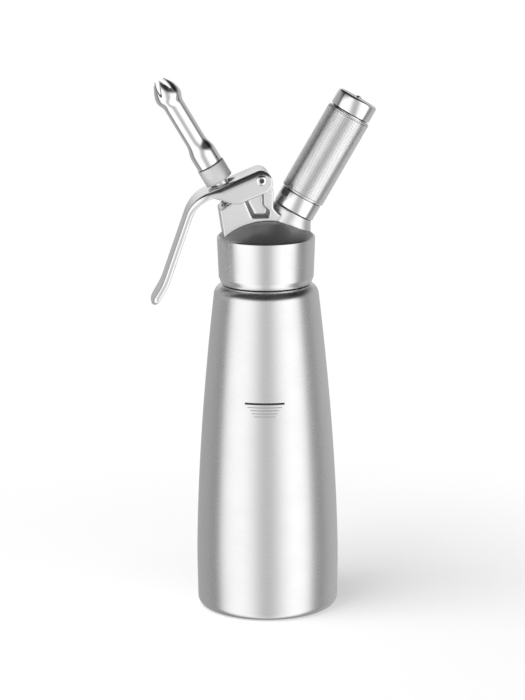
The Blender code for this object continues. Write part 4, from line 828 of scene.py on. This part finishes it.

# %% [markdown]
# ## The valve
#
# Under the lever's plate a domed collar sits on the stem and a spring lifts it. The stem is hollow and
# carries the adapter ring at its top. These pieces show only in glimpses, yet they are what moves, so they
# are turned as carefully as the rest.

# %% Stem, collar, seals
STEM_TOP, STEM_FOOT, PORT = 58.2, 7.254, 15.854
stem_line = softened([(1.6, PORT - 0.9), (1.6, STEM_TOP), (3.0, STEM_TOP), (3.0, 49.4), (4.0, 49.4), (4.0, 21.354),
                      (2.9, 21.354), (2.9, 19.554), (4.0, 19.554), (4.0, 17.554), (2.5, 17.554), (2.5, STEM_FOOT)],
                     0.15, closed=False)
core = turned("stem", [(0.0, PORT - 0.9)] + stem_line + [(0.0, STEM_FOOT)], steps=96)
stem = threaded("stem", core, NOZZLE_ARM, 3.5, 1.0, 50.2, STEM_TOP, 0.45, VALVE_STEEL)
hand_over("stem", stem, VALVE_STEEL, "stem", ["valve_stem"])
COLLAR, RIM_LOW = 36.1985, 41.2077
collar_line = [(4.3, RIM_LOW)] + [(4.3 + 2.4 * i / 8, COLLAR + math.sqrt(81.0 - (4.3 + 2.4 * i / 8) ** 2))
                                  for i in range(9)] + [(6.7, RIM_LOW)]
collar = turned("collar", softened(collar_line, 0.15), NOZZLE_ARM, 96)
hand_over("collar", collar, VALVE_STEEL, "stem", ["stem_collar"])
seal = turned("seal", ring_section(2.8, 6.2, 11.254, 13.754, 0.5), NOZZLE_ARM, 96)
hand_over("seal", seal, SILICONE, "stem", ["valve_seal"])
nut = shaped("seal_nut", turned("nut", [(0.0, 7.554), (4.2, 7.554), (4.2, 10.954), (0.0, 10.954)], NOZZLE_ARM, 6),
             cut=[rod(2.8, 5.0, 13.0, NOZZLE_ARM, 48)])
hand_over("seal_nut", nut, VALVE_STEEL, "stem", ["valve_seal_nut"])


def o_ring(name, radius, wire, height, body, node):
    loop = arc((radius, height), wire, 0, 360, 16)[:-1]
    hand_over(name, turned(name, loop, NOZZLE_ARM, 72), RUBBER, body, [node])


o_ring("stem_seal_ring", 3.7, 0.42, 20.454, "stem", "stem_o_ring")
o_ring("nozzle_seal_ring", 5.52, 0.42, 60.02, "nozzle_ring", "nozzle_o_ring")

# %% The spring, a wire wound with close end turns
WIRE, SPRING_TURNS, COIL_RADIUS = 0.55, 6.5, 5.25
spring_low, spring_high = 26.4 + 0.3 + WIRE, RIM_LOW - 0.3 - WIRE
dead = 2 * WIRE + 0.6
pitch = (spring_high - spring_low - 2 * dead) / (SPRING_TURNS - 2)
shape = bmesh.new()
rings = []
for i in range(int(SPRING_TURNS * 40) + 1):
    turns = i / 40
    height = spring_low + (min(turns, 1.0) + max(turns - SPRING_TURNS + 1, 0.0)) * dead
    height += min(max(turns - 1, 0.0), SPRING_TURNS - 2) * pitch
    radial = Vector((math.cos(math.tau * turns), math.sin(math.tau * turns), 0.0))
    centre = radial * COIL_RADIUS + Vector((0.0, 0.0, height))
    rings.append([shape.verts.new(centre + radial * (WIRE * math.cos(math.tau * k / 12))
                                  + Vector((0.0, 0.0, WIRE * math.sin(math.tau * k / 12)))) for k in range(12)])
for ring, following in zip(rings, rings[1:]):
    for k in range(12):
        m = (k + 1) % 12
        shape.faces.new((ring[k], ring[m], following[m], following[k]))
shape.faces.new(rings[0])
shape.faces.new(list(reversed(rings[-1])))
spring = hand_over("spring", mesh_of("spring", shape, NOZZLE_ARM), SPRING_STEEL, "head", ["valve_spring"])
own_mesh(spring)

# %% [markdown]
# ## The adapter ring
#
# Between lever and nozzle a short satin ring is screwed onto the stem. Its spigot carries the nozzle's
# thread, which shows once the nozzle is taken off.

# %% The ring with its threaded spigot
ring_line = softened([(3.8, 49.7), (3.8, 58.5), (3.0, 58.5), (3.0, 65.9), (4.3, 65.9), (4.3, 59.3), (7.68, 59.3),
                      (7.68, 49.7)], 0.35)
core = turned("adapter", ring_line, steps=128)
adapter = threaded("adapter", core, NOZZLE_ARM, 4.8, 1.25, 61.4, 65.9, 0.5, ADAPTER_SATIN)
hand_over("adapter", adapter, ADAPTER_SATIN, "stem", ["nozzle_adapter"])

# %% [markdown]
# ## The tulip nozzle
#
# The nozzle is turned from tube: a wide base, a short cone, a straight tube and a bulb that is slit into six
# petals drawn together at the tip. Cutting slits with a Boolean leaves ragged edges on a mirror finish, so
# the petals are laid out directly: each has its own columns, and these are squeezed together where the slit
# opens. Below the slits the columns of neighbours meet, and merging doubles closes the tube.

# %% The nozzle's outline
NOZZLE_FOOT, NOZZLE_LENGTH = 59.8, 53.0
TUBE, BULB, TIP, BULB_START, WIDEST = 5.6, 7.25, 3.2, 37.4, 43.0
SLIT, SLIT_ROOT, SLIT_MIDDLE, SLIT_TIP = 45.3, 0.65, 1.45, 1.8


def bulb_radius(height):
    if height < WIDEST:
        return TUBE + (BULB - TUBE) * eased((height - BULB_START) / (WIDEST - BULB_START))
    return BULB - (BULB - TIP) * ((height - WIDEST) / (NOZZLE_LENGTH - WIDEST)) ** 1.8


def slit_half(height):
    """Half the slit's width: a round root, widening towards the tip."""
    if height <= SLIT:
        return 0.0
    if height < SLIT + SLIT_ROOT:
        return math.sqrt(SLIT_ROOT ** 2 - (SLIT + SLIT_ROOT - height) ** 2)
    middle = (SLIT + NOZZLE_LENGTH) / 2
    if height < middle:
        return SLIT_ROOT + (SLIT_MIDDLE - SLIT_ROOT) * (height - SLIT - SLIT_ROOT) / (middle - SLIT - SLIT_ROOT)
    return SLIT_MIDDLE + (SLIT_TIP - SLIT_MIDDLE) * (height - middle) / (NOZZLE_LENGTH - middle)


print("radius of the bulb at its slits' root, mm:", round(bulb_radius(SLIT), 2))

# %% Petals as columns that part where the slits open
COLUMNS, PETALS = 18, 6
bulb_heights = [BULB_START + (SLIT - BULB_START) * i / 18 for i in range(19)]
bulb_heights += [SLIT + SLIT_ROOT * (1 - math.cos(math.radians(90 * i / 8))) for i in range(1, 9)]
last = bulb_heights[-1]
bulb_heights += [last + (NOZZLE_LENGTH - last) * i / 20 for i in range(1, 21)]
lower = softened([(TUBE, BULB_START), (TUBE, 13.4), (7.2, 8.4), (7.2, 3.0)], 12.0, closed=False, count=9)[:-1]
lower += softened([(7.2, 6.0), (7.2, 0.0), (6.24, 0.0), (6.24, 1.6), (5.1, 1.6), (5.1, 6.9), (4.6, 7.4),
                   (4.6, BULB_START)], 0.35, closed=False, count=5)[1:]
straight = [(TUBE, BULB_START + (15.6 - BULB_START) * i / 6) for i in range(1, 6)]
outer_rows = [(bulb_radius(h), h) for h in reversed(bulb_heights)] + straight + lower[1:-1]
inner_rows = [(bulb_radius(h) - 1.0, h) for h in bulb_heights]
rows = outer_rows + inner_rows
shape = bmesh.new()
for petal in range(PETALS):
    middle = math.tau * (petal + 0.5) / PETALS
    strips = []
    for radius, height in rows:
        half = math.pi / PETALS - math.asin(min(slit_half(height) / radius, 0.5))
        strips.append([shape.verts.new((radius * math.cos(middle + half * (2 * c / COLUMNS - 1)),
                                        radius * math.sin(middle + half * (2 * c / COLUMNS - 1)), height))
                       for c in range(COLUMNS + 1)])
    for strip, following in zip(strips, strips[1:] + strips[:1]):
        for c in range(COLUMNS):
            shape.faces.new((strip[c], strip[c + 1], following[c + 1], following[c]))
    outer = strips[:len(bulb_heights)]
    inner = list(reversed(strips[-len(bulb_heights):]))
    for side in (0, COLUMNS):
        for k in range(len(bulb_heights) - 1):
            if slit_half(bulb_heights[-1 - k]) > 0:
                shape.faces.new((outer[k][side], outer[k + 1][side], inner[k + 1][side], inner[k][side]))
bmesh.ops.remove_doubles(shape, verts=shape.verts, dist=1e-4)
nozzle = mesh_of("nozzle", shape)
beveled = bpy.data.objects.new("nozzle_edges", nozzle)
bpy.context.scene.collection.objects.link(beveled)
bevel = beveled.modifiers.new("edges", "BEVEL")
bevel.width, bevel.segments, bevel.limit_method, bevel.angle_limit = 0.18 * MM, 3, "ANGLE", math.radians(55)
nozzle = evaluated(beveled)
bpy.data.objects.remove(beveled)
nozzle.transform(NOZZLE_ARM @ Matrix.Translation((0, 0, NOZZLE_FOOT * MM)))
hand_over("nozzle", nozzle, NOZZLE_POLISH, "nozzle", ["nozzle_tip"])

# %% [markdown]
# ## The charger side
#
# The holder screws onto a threaded nipple and presses the gas charger onto a hollow pin. Nipple, pin, seal,
# non-return valve and charger show only when the holder is off, but they are what a user then sees.

# %% Nipple, piercing pin, seals and valve
nipple_line = softened([(2.4, 22.6), (2.4, 24.3), (1.3, 24.3), (1.3, 30.2), (4.7, 30.2), (4.7, 39.3), (9.1, 39.3),
                        (9.1, 31.0), (9.6, 30.7), (9.6, 29.6), (5.0, 29.6), (5.0, 22.6)], 0.2)
core = turned("nipple", nipple_line, steps=128)
nipple = threaded("nipple", core, CHARGER_ARM, 9.6, 1.5, 31.6, 38.9, 0.5, INNER_STEEL)
hand_over("nipple", nipple, INNER_STEEL, "head", ["charger_inlet"])
pin_line = softened([(0.4, 22.6), (0.4, 35.0), (0.8, 34.7), (1.0, 34.0), (1.0, 24.0), (2.1, 24.0),
                     (2.1, 22.6)], 0.08)
hand_over("piercing_point", turned("piercing_point", pin_line, CHARGER_ARM, 48), INNER_STEEL, "head",
          ["piercing_pin"])
washer = turned("washer", ring_section(1.3, 4.4, 30.5, 31.7, 0.25), CHARGER_ARM, 96)
hand_over("charger_washer", washer, RUBBER, "head", ["charger_seal"])
valve_line = softened([(0.8, 6.361), (0.8, 19.554), (2.7, 19.554), (2.7, 13.754), (4.4, 13.754), (4.4, 10.654),
                       (2.1, 10.654), (2.1, 6.361)], 0.2)
hand_over("check_screw", turned("check_screw", valve_line, CHARGER_ARM, 72), INNER_STEEL, "head",
          ["check_valve_screw"])
sleeve = turned("sleeve", ring_section(2.4, 3.5, 7.4, 10.354, 0.25), CHARGER_ARM, 72)
hand_over("check_sleeve", sleeve, RUBBER, "head", ["check_valve_sleeve"])

# %% The gas charger, hollow and pierced
CHARGER, CHARGER_NECK, CHARGER_WALL, CHARGER_LOW, CHARGER_END = 8.9, 4.4, 1.3, 32.0, 97.0


def charger_side(inset, count):
    neck, widening = CHARGER_NECK - inset, CHARGER - CHARGER_NECK
    points = [(neck, CHARGER_LOW + 8.7)]
    points += [(neck + widening * eased(i / 12), CHARGER_LOW + 8.7 + 7.5 * i / 12) for i in range(1, 13)]
    return points + arc((0.0, CHARGER_END - CHARGER), CHARGER - inset, 0, 90, count)[:-1]


charger_line = [(0.0, CHARGER_END - CHARGER_WALL)] + list(reversed(charger_side(CHARGER_WALL, 12)))
charger_line += softened([(3.1, CHARGER_LOW + 8.0), (3.1, CHARGER_LOW + CHARGER_WALL),
                          (1.4, CHARGER_LOW + CHARGER_WALL), (1.4, CHARGER_LOW), (CHARGER_NECK, CHARGER_LOW),
                          (CHARGER_NECK, CHARGER_LOW + 8.0)], 0.4, closed=False)
charger_line += charger_side(0.0, 16) + [(0.0, CHARGER_END)]
hand_over("charger", turned("charger", charger_line, CHARGER_ARM, 128), ZINC, "charger", ["gas_charger"])

# %% [markdown]
# ## The charger holder
#
# The holder is a long tube with a polished ring at its foot. A knurled sleeve is pressed over it and a
# polished end cap with a small plug closes it.

# %% Holder tube, end cap and plug
body_line = softened([(9.9, 29.7), (9.9, 41.0), (9.2, 41.0), (9.2, 95.0), (9.9, 95.0), (9.9, 90.3), (10.9, 90.3),
                      (10.9, 38.7), (11.6, 38.7), (11.6, 29.7)], 0.45, count=5)
hand_over("holder_tube", turned("holder_tube", body_line, CHARGER_ARM, 160), HOLDER_POLISH, "holder",
          ["holder_body"])
cap_line = softened([(10.2, 90.8), (10.2, 95.3), (9.2, 95.3), (9.2, 97.3), (1.2, 97.3), (1.2, 99.6)], 0.4,
                    closed=False)
cap_line += arc((10.2, 98.4), 1.2, 90, 0, 8) + [(11.4, 91.1), (11.25, 90.75), (10.9, 90.6), (10.2, 90.6)]
hand_over("end_cap", turned("end_cap", cap_line, CHARGER_ARM, 160), HOLDER_POLISH, "holder", ["holder_end_cap"])
plug_line = dome_head(1.6, 99.9, 0.9) + softened([(1.6, 99.9), (0.9, 99.9), (0.9, 97.6), (0.0, 97.6)], 0.1,
                                                 closed=False)[1:]
hand_over("plug", turned("plug", plug_line, CHARGER_ARM, 64), HOLDER_POLISH, "holder", ["cap_button"])

# %% [markdown]
# ## The knurled grip
#
# A knurl is thousands of small diamonds rolled into the sleeve. They repeat by a rule, so Geometry Nodes set
# them: points are counted off in staggered rows round the sleeve, and on each point sits a small four-sided
# diamond with a flat top. Every diamond is one instance of the same six faces until the end, where the
# instances are made real.

# %% The tree that sets the diamonds


def make_knurl_tree():
    tree, given, result = new_group(
        "diamond_knurl", "GeometryNodeTree",
        [("Sleeve", "NodeSocketGeometry"), ("Radius", "NodeSocketFloat"), ("Start", "NodeSocketFloat"),
         ("Row Step", "NodeSocketFloat"), ("Around", "NodeSocketInt"), ("Rows", "NodeSocketInt"),
         ("Depth", "NodeSocketFloat"), ("Material", "NodeSocketMaterial")],
        [("Geometry", "NodeSocketGeometry")])
    value = given.outputs
    around = value["Around"]
    index = add(tree, "GeometryNodeInputIndex").outputs[0]
    row = math_node(tree, "FLOOR", math_node(tree, "DIVIDE", math_node(tree, "ADD", index, 0.5), around))
    column = math_node(tree, "SUBTRACT", index, math_node(tree, "MULTIPLY", row, around))
    stagger = math_node(tree, "MULTIPLY", math_node(tree, "MODULO", row, 2.0), 0.5)
    angle = math_node(tree, "MULTIPLY", math_node(tree, "DIVIDE", math_node(tree, "ADD", column, stagger), around),
                      math.tau)
    out_x, out_y = math_node(tree, "COSINE", angle), math_node(tree, "SINE", angle)
    height = math_node(tree, "MULTIPLY_ADD", row, value["Row Step"], value["Start"])
    place = add(tree, "ShaderNodeCombineXYZ", {0: math_node(tree, "MULTIPLY", out_x, value["Radius"]),
                                               1: math_node(tree, "MULTIPLY", out_y, value["Radius"]), 2: height})
    outward = add(tree, "ShaderNodeCombineXYZ", {0: out_x, 1: out_y})
    points = add(tree, "GeometryNodePoints", {"Count": math_node(tree, "MULTIPLY", around, value["Rows"]),
                                              "Position": place.outputs[0]})
    width = math_node(tree, "DIVIDE", math_node(tree, "MULTIPLY", value["Radius"], math.tau), around)
    diamond = add(tree, "GeometryNodeMeshCone", {"Vertices": 4, "Radius Top": 0.42, "Radius Bottom": 0.5,
                                                 "Depth": 1.0})
    turn = add(tree, "FunctionNodeAxesToRotation", {0: outward.outputs[0], 1: (0.0, 0.0, 1.0)})
    size = add(tree, "ShaderNodeCombineXYZ", {0: math_node(tree, "MULTIPLY", value["Row Step"], 2.0), 1: width,
                                              2: value["Depth"]})
    placed = add(tree, "GeometryNodeInstanceOnPoints", {"Points": points.outputs[0], "Instance": diamond.outputs[0],
                                                        "Rotation": turn.outputs[0], "Scale": size.outputs[0]})
    joined = add(tree, "GeometryNodeJoinGeometry")
    tree.links.new(value["Sleeve"], joined.inputs[0])
    tree.links.new(placed.outputs[0], joined.inputs[0])
    real = add(tree, "GeometryNodeRealizeInstances", {0: joined.outputs[0]})
    painted = add(tree, "GeometryNodeSetMaterial", {"Geometry": real.outputs[0], "Material": value["Material"]})
    tree.links.new(painted.outputs[0], result.inputs[0])
    return tree


KNURL_TREE = make_knurl_tree()
print("nodes in the knurl's tree:", len(KNURL_TREE.nodes))

# %% The knurl's metal, with painted shade between the diamonds
# the knurl's valley value is painted shade: the share of the metal's colour kept in the valleys
GRIP, KNURL_DEPTH, KNURL_ROW, VALLEY_SHADE = 12.2, 0.20, 0.55, 0.42
KNURL_STEEL = metal("knurled_steel", (0.95, 0.95, 0.95), 0.22, place=CHARGER_ARM, wear=0.0)
tree = KNURL_STEEL.node_tree
shader = tree.nodes["Principled BSDF"]
groups = [node for node in tree.nodes if node.type == "GROUP"]
radius = next(node for node in groups if node.node_tree == TURNED_GRAIN).outputs["Radius"]
# Painted shade: the metal is darkened by radius in the valleys between the diamonds, where shade falls
crest = add(tree, "ShaderNodeMapRange", {"Value": radius, "From Min": (GRIP - KNURL_DEPTH) * MM,
                                         "From Max": (GRIP - 0.05) * MM, "To Min": VALLEY_SHADE})
shade = add(tree, "ShaderNodeMix", {0: crest.outputs[0], 6: (0.0, 0.0, 0.0, 1.0),
                                    7: shader.inputs["Base Color"].links[0].from_socket}, data_type="RGBA")
tree.links.new(shade.outputs[2], shader.inputs["Base Color"])
print("the knurl's valleys keep", VALLEY_SHADE, "of the metal's colour")

# %% The sleeve and its diamonds
AROUND, KNURL_LOW, KNURL_HIGH, SUNK = 70, 40.1, 88.9, 0.08
floor_radius = GRIP - KNURL_DEPTH
sleeve_line = softened([(11.2, 39.4), (11.2, 89.6), (12.0, 89.6), (GRIP, 89.3), (GRIP, 89.0), (floor_radius, 88.8),
                        (floor_radius, 40.2), (GRIP, 40.0), (GRIP, 39.7), (12.0, 39.4)], 0.12)
sleeve = turned("grip", sleeve_line, steps=210)
row_count = int((KNURL_HIGH - KNURL_LOW) / KNURL_ROW) - 1
grip = run_tree("grip", KNURL_TREE, {
    "Radius": (floor_radius - SUNK) * MM, "Start": (KNURL_LOW + 1.2 * KNURL_ROW) * MM,
    "Row Step": KNURL_ROW * MM, "Around": AROUND, "Rows": row_count, "Depth": (KNURL_DEPTH + SUNK) * MM,
    "Material": KNURL_STEEL}, sleeve)
grip.transform(CHARGER_ARM)
hand_over("grip", grip, KNURL_STEEL, "holder", ["holder_grip"], sharp=25)

# %% [markdown]
# ## The fill mark
#
# A thick line with four thinner ones under it is printed on the bottle's near side as its fill level. Each
# line is a mask in the steel's own material, from its height and from the distance to the mark's middle. It
# darkens and dulls the steel, the thin lines a little less than the thick one. A mask needs no picture and
# no extra faces, and its edges stay sharp from close by.

# %% The fill mark in the bottle's material
# height, half length and half width in millimetres, and how dark the line is
MARK_LINES = ((121.3, 10.7, 0.55, 1.0), (119.3, 9.3, 0.22, 0.55), (117.7, 7.7, 0.22, 0.55),
              (116.0, 6.9, 0.22, 0.5), (114.4, 5.7, 0.22, 0.45))
MARK_TURN = math.radians(-8.0)


def paint_fill_mark(material):
    tree = material.node_tree
    shader = tree.nodes["Principled BSDF"]
    x, y, z = add(tree, "ShaderNodeSeparateXYZ", {0: add(tree, "ShaderNodeTexCoord").outputs["Object"]}).outputs
    side = math_node(tree, "ADD", math_node(tree, "MULTIPLY", x, math.cos(MARK_TURN)),
                     math_node(tree, "MULTIPLY", y, math.sin(MARK_TURN)))
    near = math_node(tree, "LESS_THAN", y, 0.0)
    mask = None
    for height, half_length, half_width, ink in MARK_LINES:
        beside = math_node(tree, "LESS_THAN", math_node(tree, "ABSOLUTE", side), half_length * MM)
        level = math_node(tree, "ABSOLUTE", math_node(tree, "SUBTRACT", z, height * MM))
        line = math_node(tree, "MULTIPLY", beside, math_node(tree, "LESS_THAN", level, half_width * MM))
        line = math_node(tree, "MULTIPLY", line, ink)
        mask = line if mask is None else math_node(tree, "MAXIMUM", mask, line)
    mask = math_node(tree, "MULTIPLY", mask, near)
    tone = add(tree, "ShaderNodeMix", {0: math_node(tree, "MULTIPLY", mask, 0.97), 7: (0.03, 0.03, 0.03, 1.0),
                                       6: shader.inputs["Base Color"].links[0].from_socket}, data_type="RGBA")
    tree.links.new(tone.outputs[2], shader.inputs["Base Color"])
    rough = math_node(tree, "MULTIPLY_ADD", mask, 0.25, shader.inputs["Roughness"].links[0].from_socket)
    tree.links.new(rough, shader.inputs["Roughness"])


paint_fill_mark(BOTTLE_STEEL)
print("lines of the fill mark:", len(MARK_LINES))

# %% [markdown]
# ## Painted shade where little light comes
#
# Some places are painted darker than their metal: the bottle's edge where it stands, the bottom of the
# screw's socket, the dome round the casting and the casting's pockets. This is painted shade, for the light
# that hardly gets in there, and the metal there is also made a little rougher. The same kind of mask as the
# fill mark's paints it, with soft limits, so that the shade stays in the material and needs no lamp set for it.

# %% Painted shade that follows the position on a piece


def paint_shade_zone(material, limits, tone, rougher):
    """Paint shade onto the metal and dull it between soft limits: each is an axis, where it starts and where it is
    full.

    The limits are in millimetres, and Y is taken as the distance from the middle, so both sides get the shade.
    """
    tree = material.node_tree
    shader = tree.nodes["Principled BSDF"]
    place = add(tree, "ShaderNodeSeparateXYZ", {0: add(tree, "ShaderNodeTexCoord").outputs["Object"]}).outputs
    mask = None
    for axis, start, full in limits:
        value = math_node(tree, "ABSOLUTE", place[1]) if axis == 1 else place[axis]
        soft_step = add(tree, "ShaderNodeMapRange", {"Value": value, "From Min": start * MM, "From Max": full * MM},
                        interpolation_type="SMOOTHSTEP").outputs[0]
        mask = soft_step if mask is None else math_node(tree, "MULTIPLY", mask, soft_step)
    shade = add(tree, "ShaderNodeMix", {0: mask, 6: (1.0, 1.0, 1.0, 1.0), 7: (tone, tone, tone, 1.0)},
                data_type="RGBA")
    shaded = add(tree, "ShaderNodeMix", {0: 1.0, 6: shader.inputs["Base Color"].links[0].from_socket,
                                        7: shade.outputs[2]}, data_type="RGBA", blend_type="MULTIPLY")
    tree.links.new(shaded.outputs[2], shader.inputs["Base Color"])
    rough = math_node(tree, "MULTIPLY_ADD", mask, rougher, shader.inputs["Roughness"].links[0].from_socket)
    tree.links.new(rough, shader.inputs["Roughness"])


# Painted shade: the bottle's foot where it stands, the bottom of the pin screw's socket, the dome round the casting,
# and the casting's pockets
paint_shade_zone(BOTTLE_STEEL, [(2, 3.6, 0.4)], 0.62, 0.1)
paint_shade_zone(PIN_STEEL, [(0, PIN[0] - 1.5, PIN[0] - 1.3), (0, PIN[0] + 1.5, PIN[0] + 1.3),
                       (2, PIN[1] - 1.5, PIN[1] - 1.3), (2, PIN[1] + 1.5, PIN[1] + 1.3), (1, 13.8, 13.5)], 0.15, 0.3)
paint_shade_zone(CAP_STEEL, [(2, 206.9, 208.2)], 0.72, 0.2)
paint_shade_zone(CASTING_SATIN, [(0, -14.9, -14.4), (0, 2.6, 2.1), (1, 6.5, 6.9), (1, 9.6, 9.3), (2, 217.4, 217.9),
                           (2, 233.0, 232.5)], 0.42, 0.1)
print("toned by place:", [made.name for made in (BOTTLE_STEEL, PIN_STEEL, CAP_STEEL, CASTING_SATIN)])

# %% [markdown]
# ## The floor
#
# A small pale disc carries the object's soft shadow and fades out at its edge into the white background, so
# that no horizon shows. For the camera only, its colour is lifted a little, so that it looks white without
# more light on the object.

# %% The floor disc
FLOOR, LIFT = 0.34, 0.39
floor_line = [(FLOOR / MM * i / 12, 0.0) for i in range(13)] + [(FLOOR / MM, -1.0), (0.0, -1.0)]
floor_mesh = turned("floor", floor_line, steps=96)
floor = bpy.data.objects.new("floor", floor_mesh)
bpy.context.scene.collection.objects.link(floor)
floor_paint = bpy.data.materials.new("pale_floor")
floor_paint.use_nodes = True
tree = floor_paint.node_tree
shader = tree.nodes["Principled BSDF"]
shader.inputs["Base Color"].default_value = (0.93, 0.93, 0.93, 1.0)
shader.inputs["Roughness"].default_value = 0.9
shader.inputs["Specular IOR Level"].default_value = 0.0
where = add(tree, "ShaderNodeTexCoord").outputs["Object"]
away = add(tree, "ShaderNodeVectorMath", {0: where}, operation="LENGTH").outputs["Value"]
fade = add(tree, "ShaderNodeMapRange", {"Value": away, "From Min": 0.10, "From Max": FLOOR - 0.02},
           interpolation_type="SMOOTHSTEP")
glow = add(tree, "ShaderNodeEmission", {"Color": (1.0, 1.0, 1.0, 1.0), "Strength": 1.0})
seen = add(tree, "ShaderNodeLightPath").outputs["Is Camera Ray"]
lift = add(tree, "ShaderNodeEmission", {"Color": (1.0, 1.0, 1.0, 1.0),
                                        "Strength": math_node(tree, "MULTIPLY", seen, LIFT)})
lit = add(tree, "ShaderNodeAddShader", {0: shader.outputs[0], 1: lift.outputs[0]})
shown = add(tree, "ShaderNodeMixShader", {0: fade.outputs[0], 1: lit.outputs[0], 2: glow.outputs[0]})
tree.links.new(shown.outputs[0], tree.nodes["Material Output"].inputs["Surface"])
floor_mesh.materials.append(floor_paint)
floor.visible_glossy = False
print("floor radius, m:", FLOOR)

# %% [markdown]
# ## The studio
#
# Metal shows what stands round it, so the studio is the most important light source: two broad white walls
# left and right, a greyer strip behind the camera, grey towards the back with a lighter strip straight behind
# the object, and a dark ceiling. The world gives this by the direction of a ray: a ramp over the angle round
# the object, and a second one over the height. Only the camera's own rays see plain white. What the metal
# mirrors stays the studio, because the light and dark bands along the steel come from its walls.

# %% The world
CAMERA_TURN, BRIGHTEST, CEILING_LEVEL = 6.0, 1.5, 0.05
# angle from the camera's direction in degrees, and the brightness of the wall there
BANDS = ((-180, 0.50), (-120, 0.44), (-103, 0.34), (-94, 0.22), (-87, 0.24), (-81, 1.0), (-64, 1.28),
         (-38, 1.28), (-24, 1.05), (-12, 0.68), (-5, 0.56), (5, 0.56), (12, 0.72), (24, 1.10), (38, 1.36),
         (62, 1.36), (73, 1.10), (81, 0.38), (96, 0.28), (118, 0.50), (150, 0.56), (180, 0.50))
world = bpy.data.worlds.new("studio")
bpy.context.scene.world = world
world.use_nodes = True
tree = world.node_tree
tree.nodes.clear()
direction = add(tree, "ShaderNodeTexCoord").outputs["Generated"]
x, y, z = add(tree, "ShaderNodeSeparateXYZ", {0: direction}).outputs
around = math_node(tree, "ARCTAN2", x, math_node(tree, "MULTIPLY", y, -1.0))
around = math_node(tree, "ADD", around, math.radians(CAMERA_TURN))
share = math_node(tree, "FRACT", math_node(tree, "MULTIPLY_ADD", around, 1 / math.tau, 1.5))
bands = add(tree, "ShaderNodeValToRGB", {0: share})
ramp = bands.color_ramp
ramp.interpolation = "EASE"
while len(ramp.elements) > 1:
    ramp.elements.remove(ramp.elements[-1])
for i, (angle, level) in enumerate(BANDS):
    position = (angle + 180) / 360
    element = ramp.elements[0] if i == 0 else ramp.elements.new(position)
    element.position = position
    element.color = (level / BRIGHTEST, level / BRIGHTEST, level / BRIGHTEST, 1.0)
ceiling = add(tree, "ShaderNodeMapRange", {"Value": z, "From Min": 0.30, "From Max": 0.63, "To Min": 1.0,
                                           "To Max": CEILING_LEVEL}, interpolation_type="SMOOTHSTEP")
behind = add(tree, "ShaderNodeMapRange", {"Value": y, "From Min": 0.87, "From Max": 0.95})
above = add(tree, "ShaderNodeMapRange", {"Value": z, "From Min": 0.0, "From Max": 0.18, "To Max": 0.5})
backdrop = math_node(tree, "MULTIPLY", behind.outputs[0], above.outputs[0])
wall = math_node(tree, "MULTIPLY_ADD", bands.outputs[0], BRIGHTEST, backdrop)
level = math_node(tree, "MULTIPLY", wall, ceiling.outputs[0])
studio = add(tree, "ShaderNodeBackground", {"Color": (1.0, 1.0, 1.0, 1.0), "Strength": level})
white = add(tree, "ShaderNodeBackground", {"Color": (1.0, 1.0, 1.0, 1.0), "Strength": 1.0})
seen = add(tree, "ShaderNodeLightPath").outputs["Is Camera Ray"]
mixed = add(tree, "ShaderNodeMixShader", {0: seen, 1: studio.outputs[0], 2: white.outputs[0]})
tree.links.new(mixed.outputs[0], add(tree, "ShaderNodeOutputWorld").inputs["Surface"])
print("stops in the studio's ramp:", len(ramp.elements))

# %% A soft lamp above, for the shadow beside the base
LAMP_SIZE, LAMP_POWER = 0.9, 9.0
lamp_data = bpy.data.lights.new("soft_box", "AREA")
lamp_data.shape, lamp_data.size, lamp_data.size_y = "RECTANGLE", LAMP_SIZE, LAMP_SIZE
lamp_data.energy = LAMP_POWER
lamp = bpy.data.objects.new("soft_box", lamp_data)
bpy.context.scene.collection.objects.link(lamp)
lamp.location = (-0.45, -0.25, 1.15)
lamp.rotation_euler = (Vector((0.0, 0.0, 0.1)) - lamp.location).to_track_quat("-Z", "Y").to_euler()
lamp.visible_glossy = False
print("lamp, W:", lamp_data.energy)

# %% [markdown]
# ## The camera
#
# The photograph is taken from about a metre and a half away, a little above the object and turned six
# degrees to its left, with a long lens that keeps the uprights parallel.

# %% The camera at the photograph's view
HEADING, PITCH, ROLL = math.radians(5.915), math.radians(12.9), math.radians(0.3)
# the distance to the picture in pixels, the picture's height in pixels, and the sensor's in millimetres
PICTURE_DISTANCE, PICTURE_HEIGHT, SENSOR = 2811, 700, 36
forward = Vector((math.sin(HEADING) * math.cos(PITCH), math.cos(HEADING) * math.cos(PITCH), -math.sin(PITCH)))
right = Vector((math.cos(HEADING), -math.sin(HEADING), 0.0))
up = right.cross(forward)
across = right * math.cos(ROLL) - up * math.sin(ROLL)
upward = up * math.cos(ROLL) + right * math.sin(ROLL)
camera_data = bpy.data.cameras.new("camera")
camera_data.lens, camera_data.sensor_width = PICTURE_DISTANCE / PICTURE_HEIGHT * SENSOR, SENSOR
camera = bpy.data.objects.new("camera", camera_data)
bpy.context.scene.collection.objects.link(camera)
turn = Matrix((across, upward, -forward)).transposed().to_4x4()
camera.matrix_world = Matrix.Translation((-0.15679, -1.49178, 0.487)) @ turn
bpy.context.scene.camera = camera
bpy.context.scene.view_settings.view_transform = "Standard"
print("lens, mm:", round(camera_data.lens, 1))
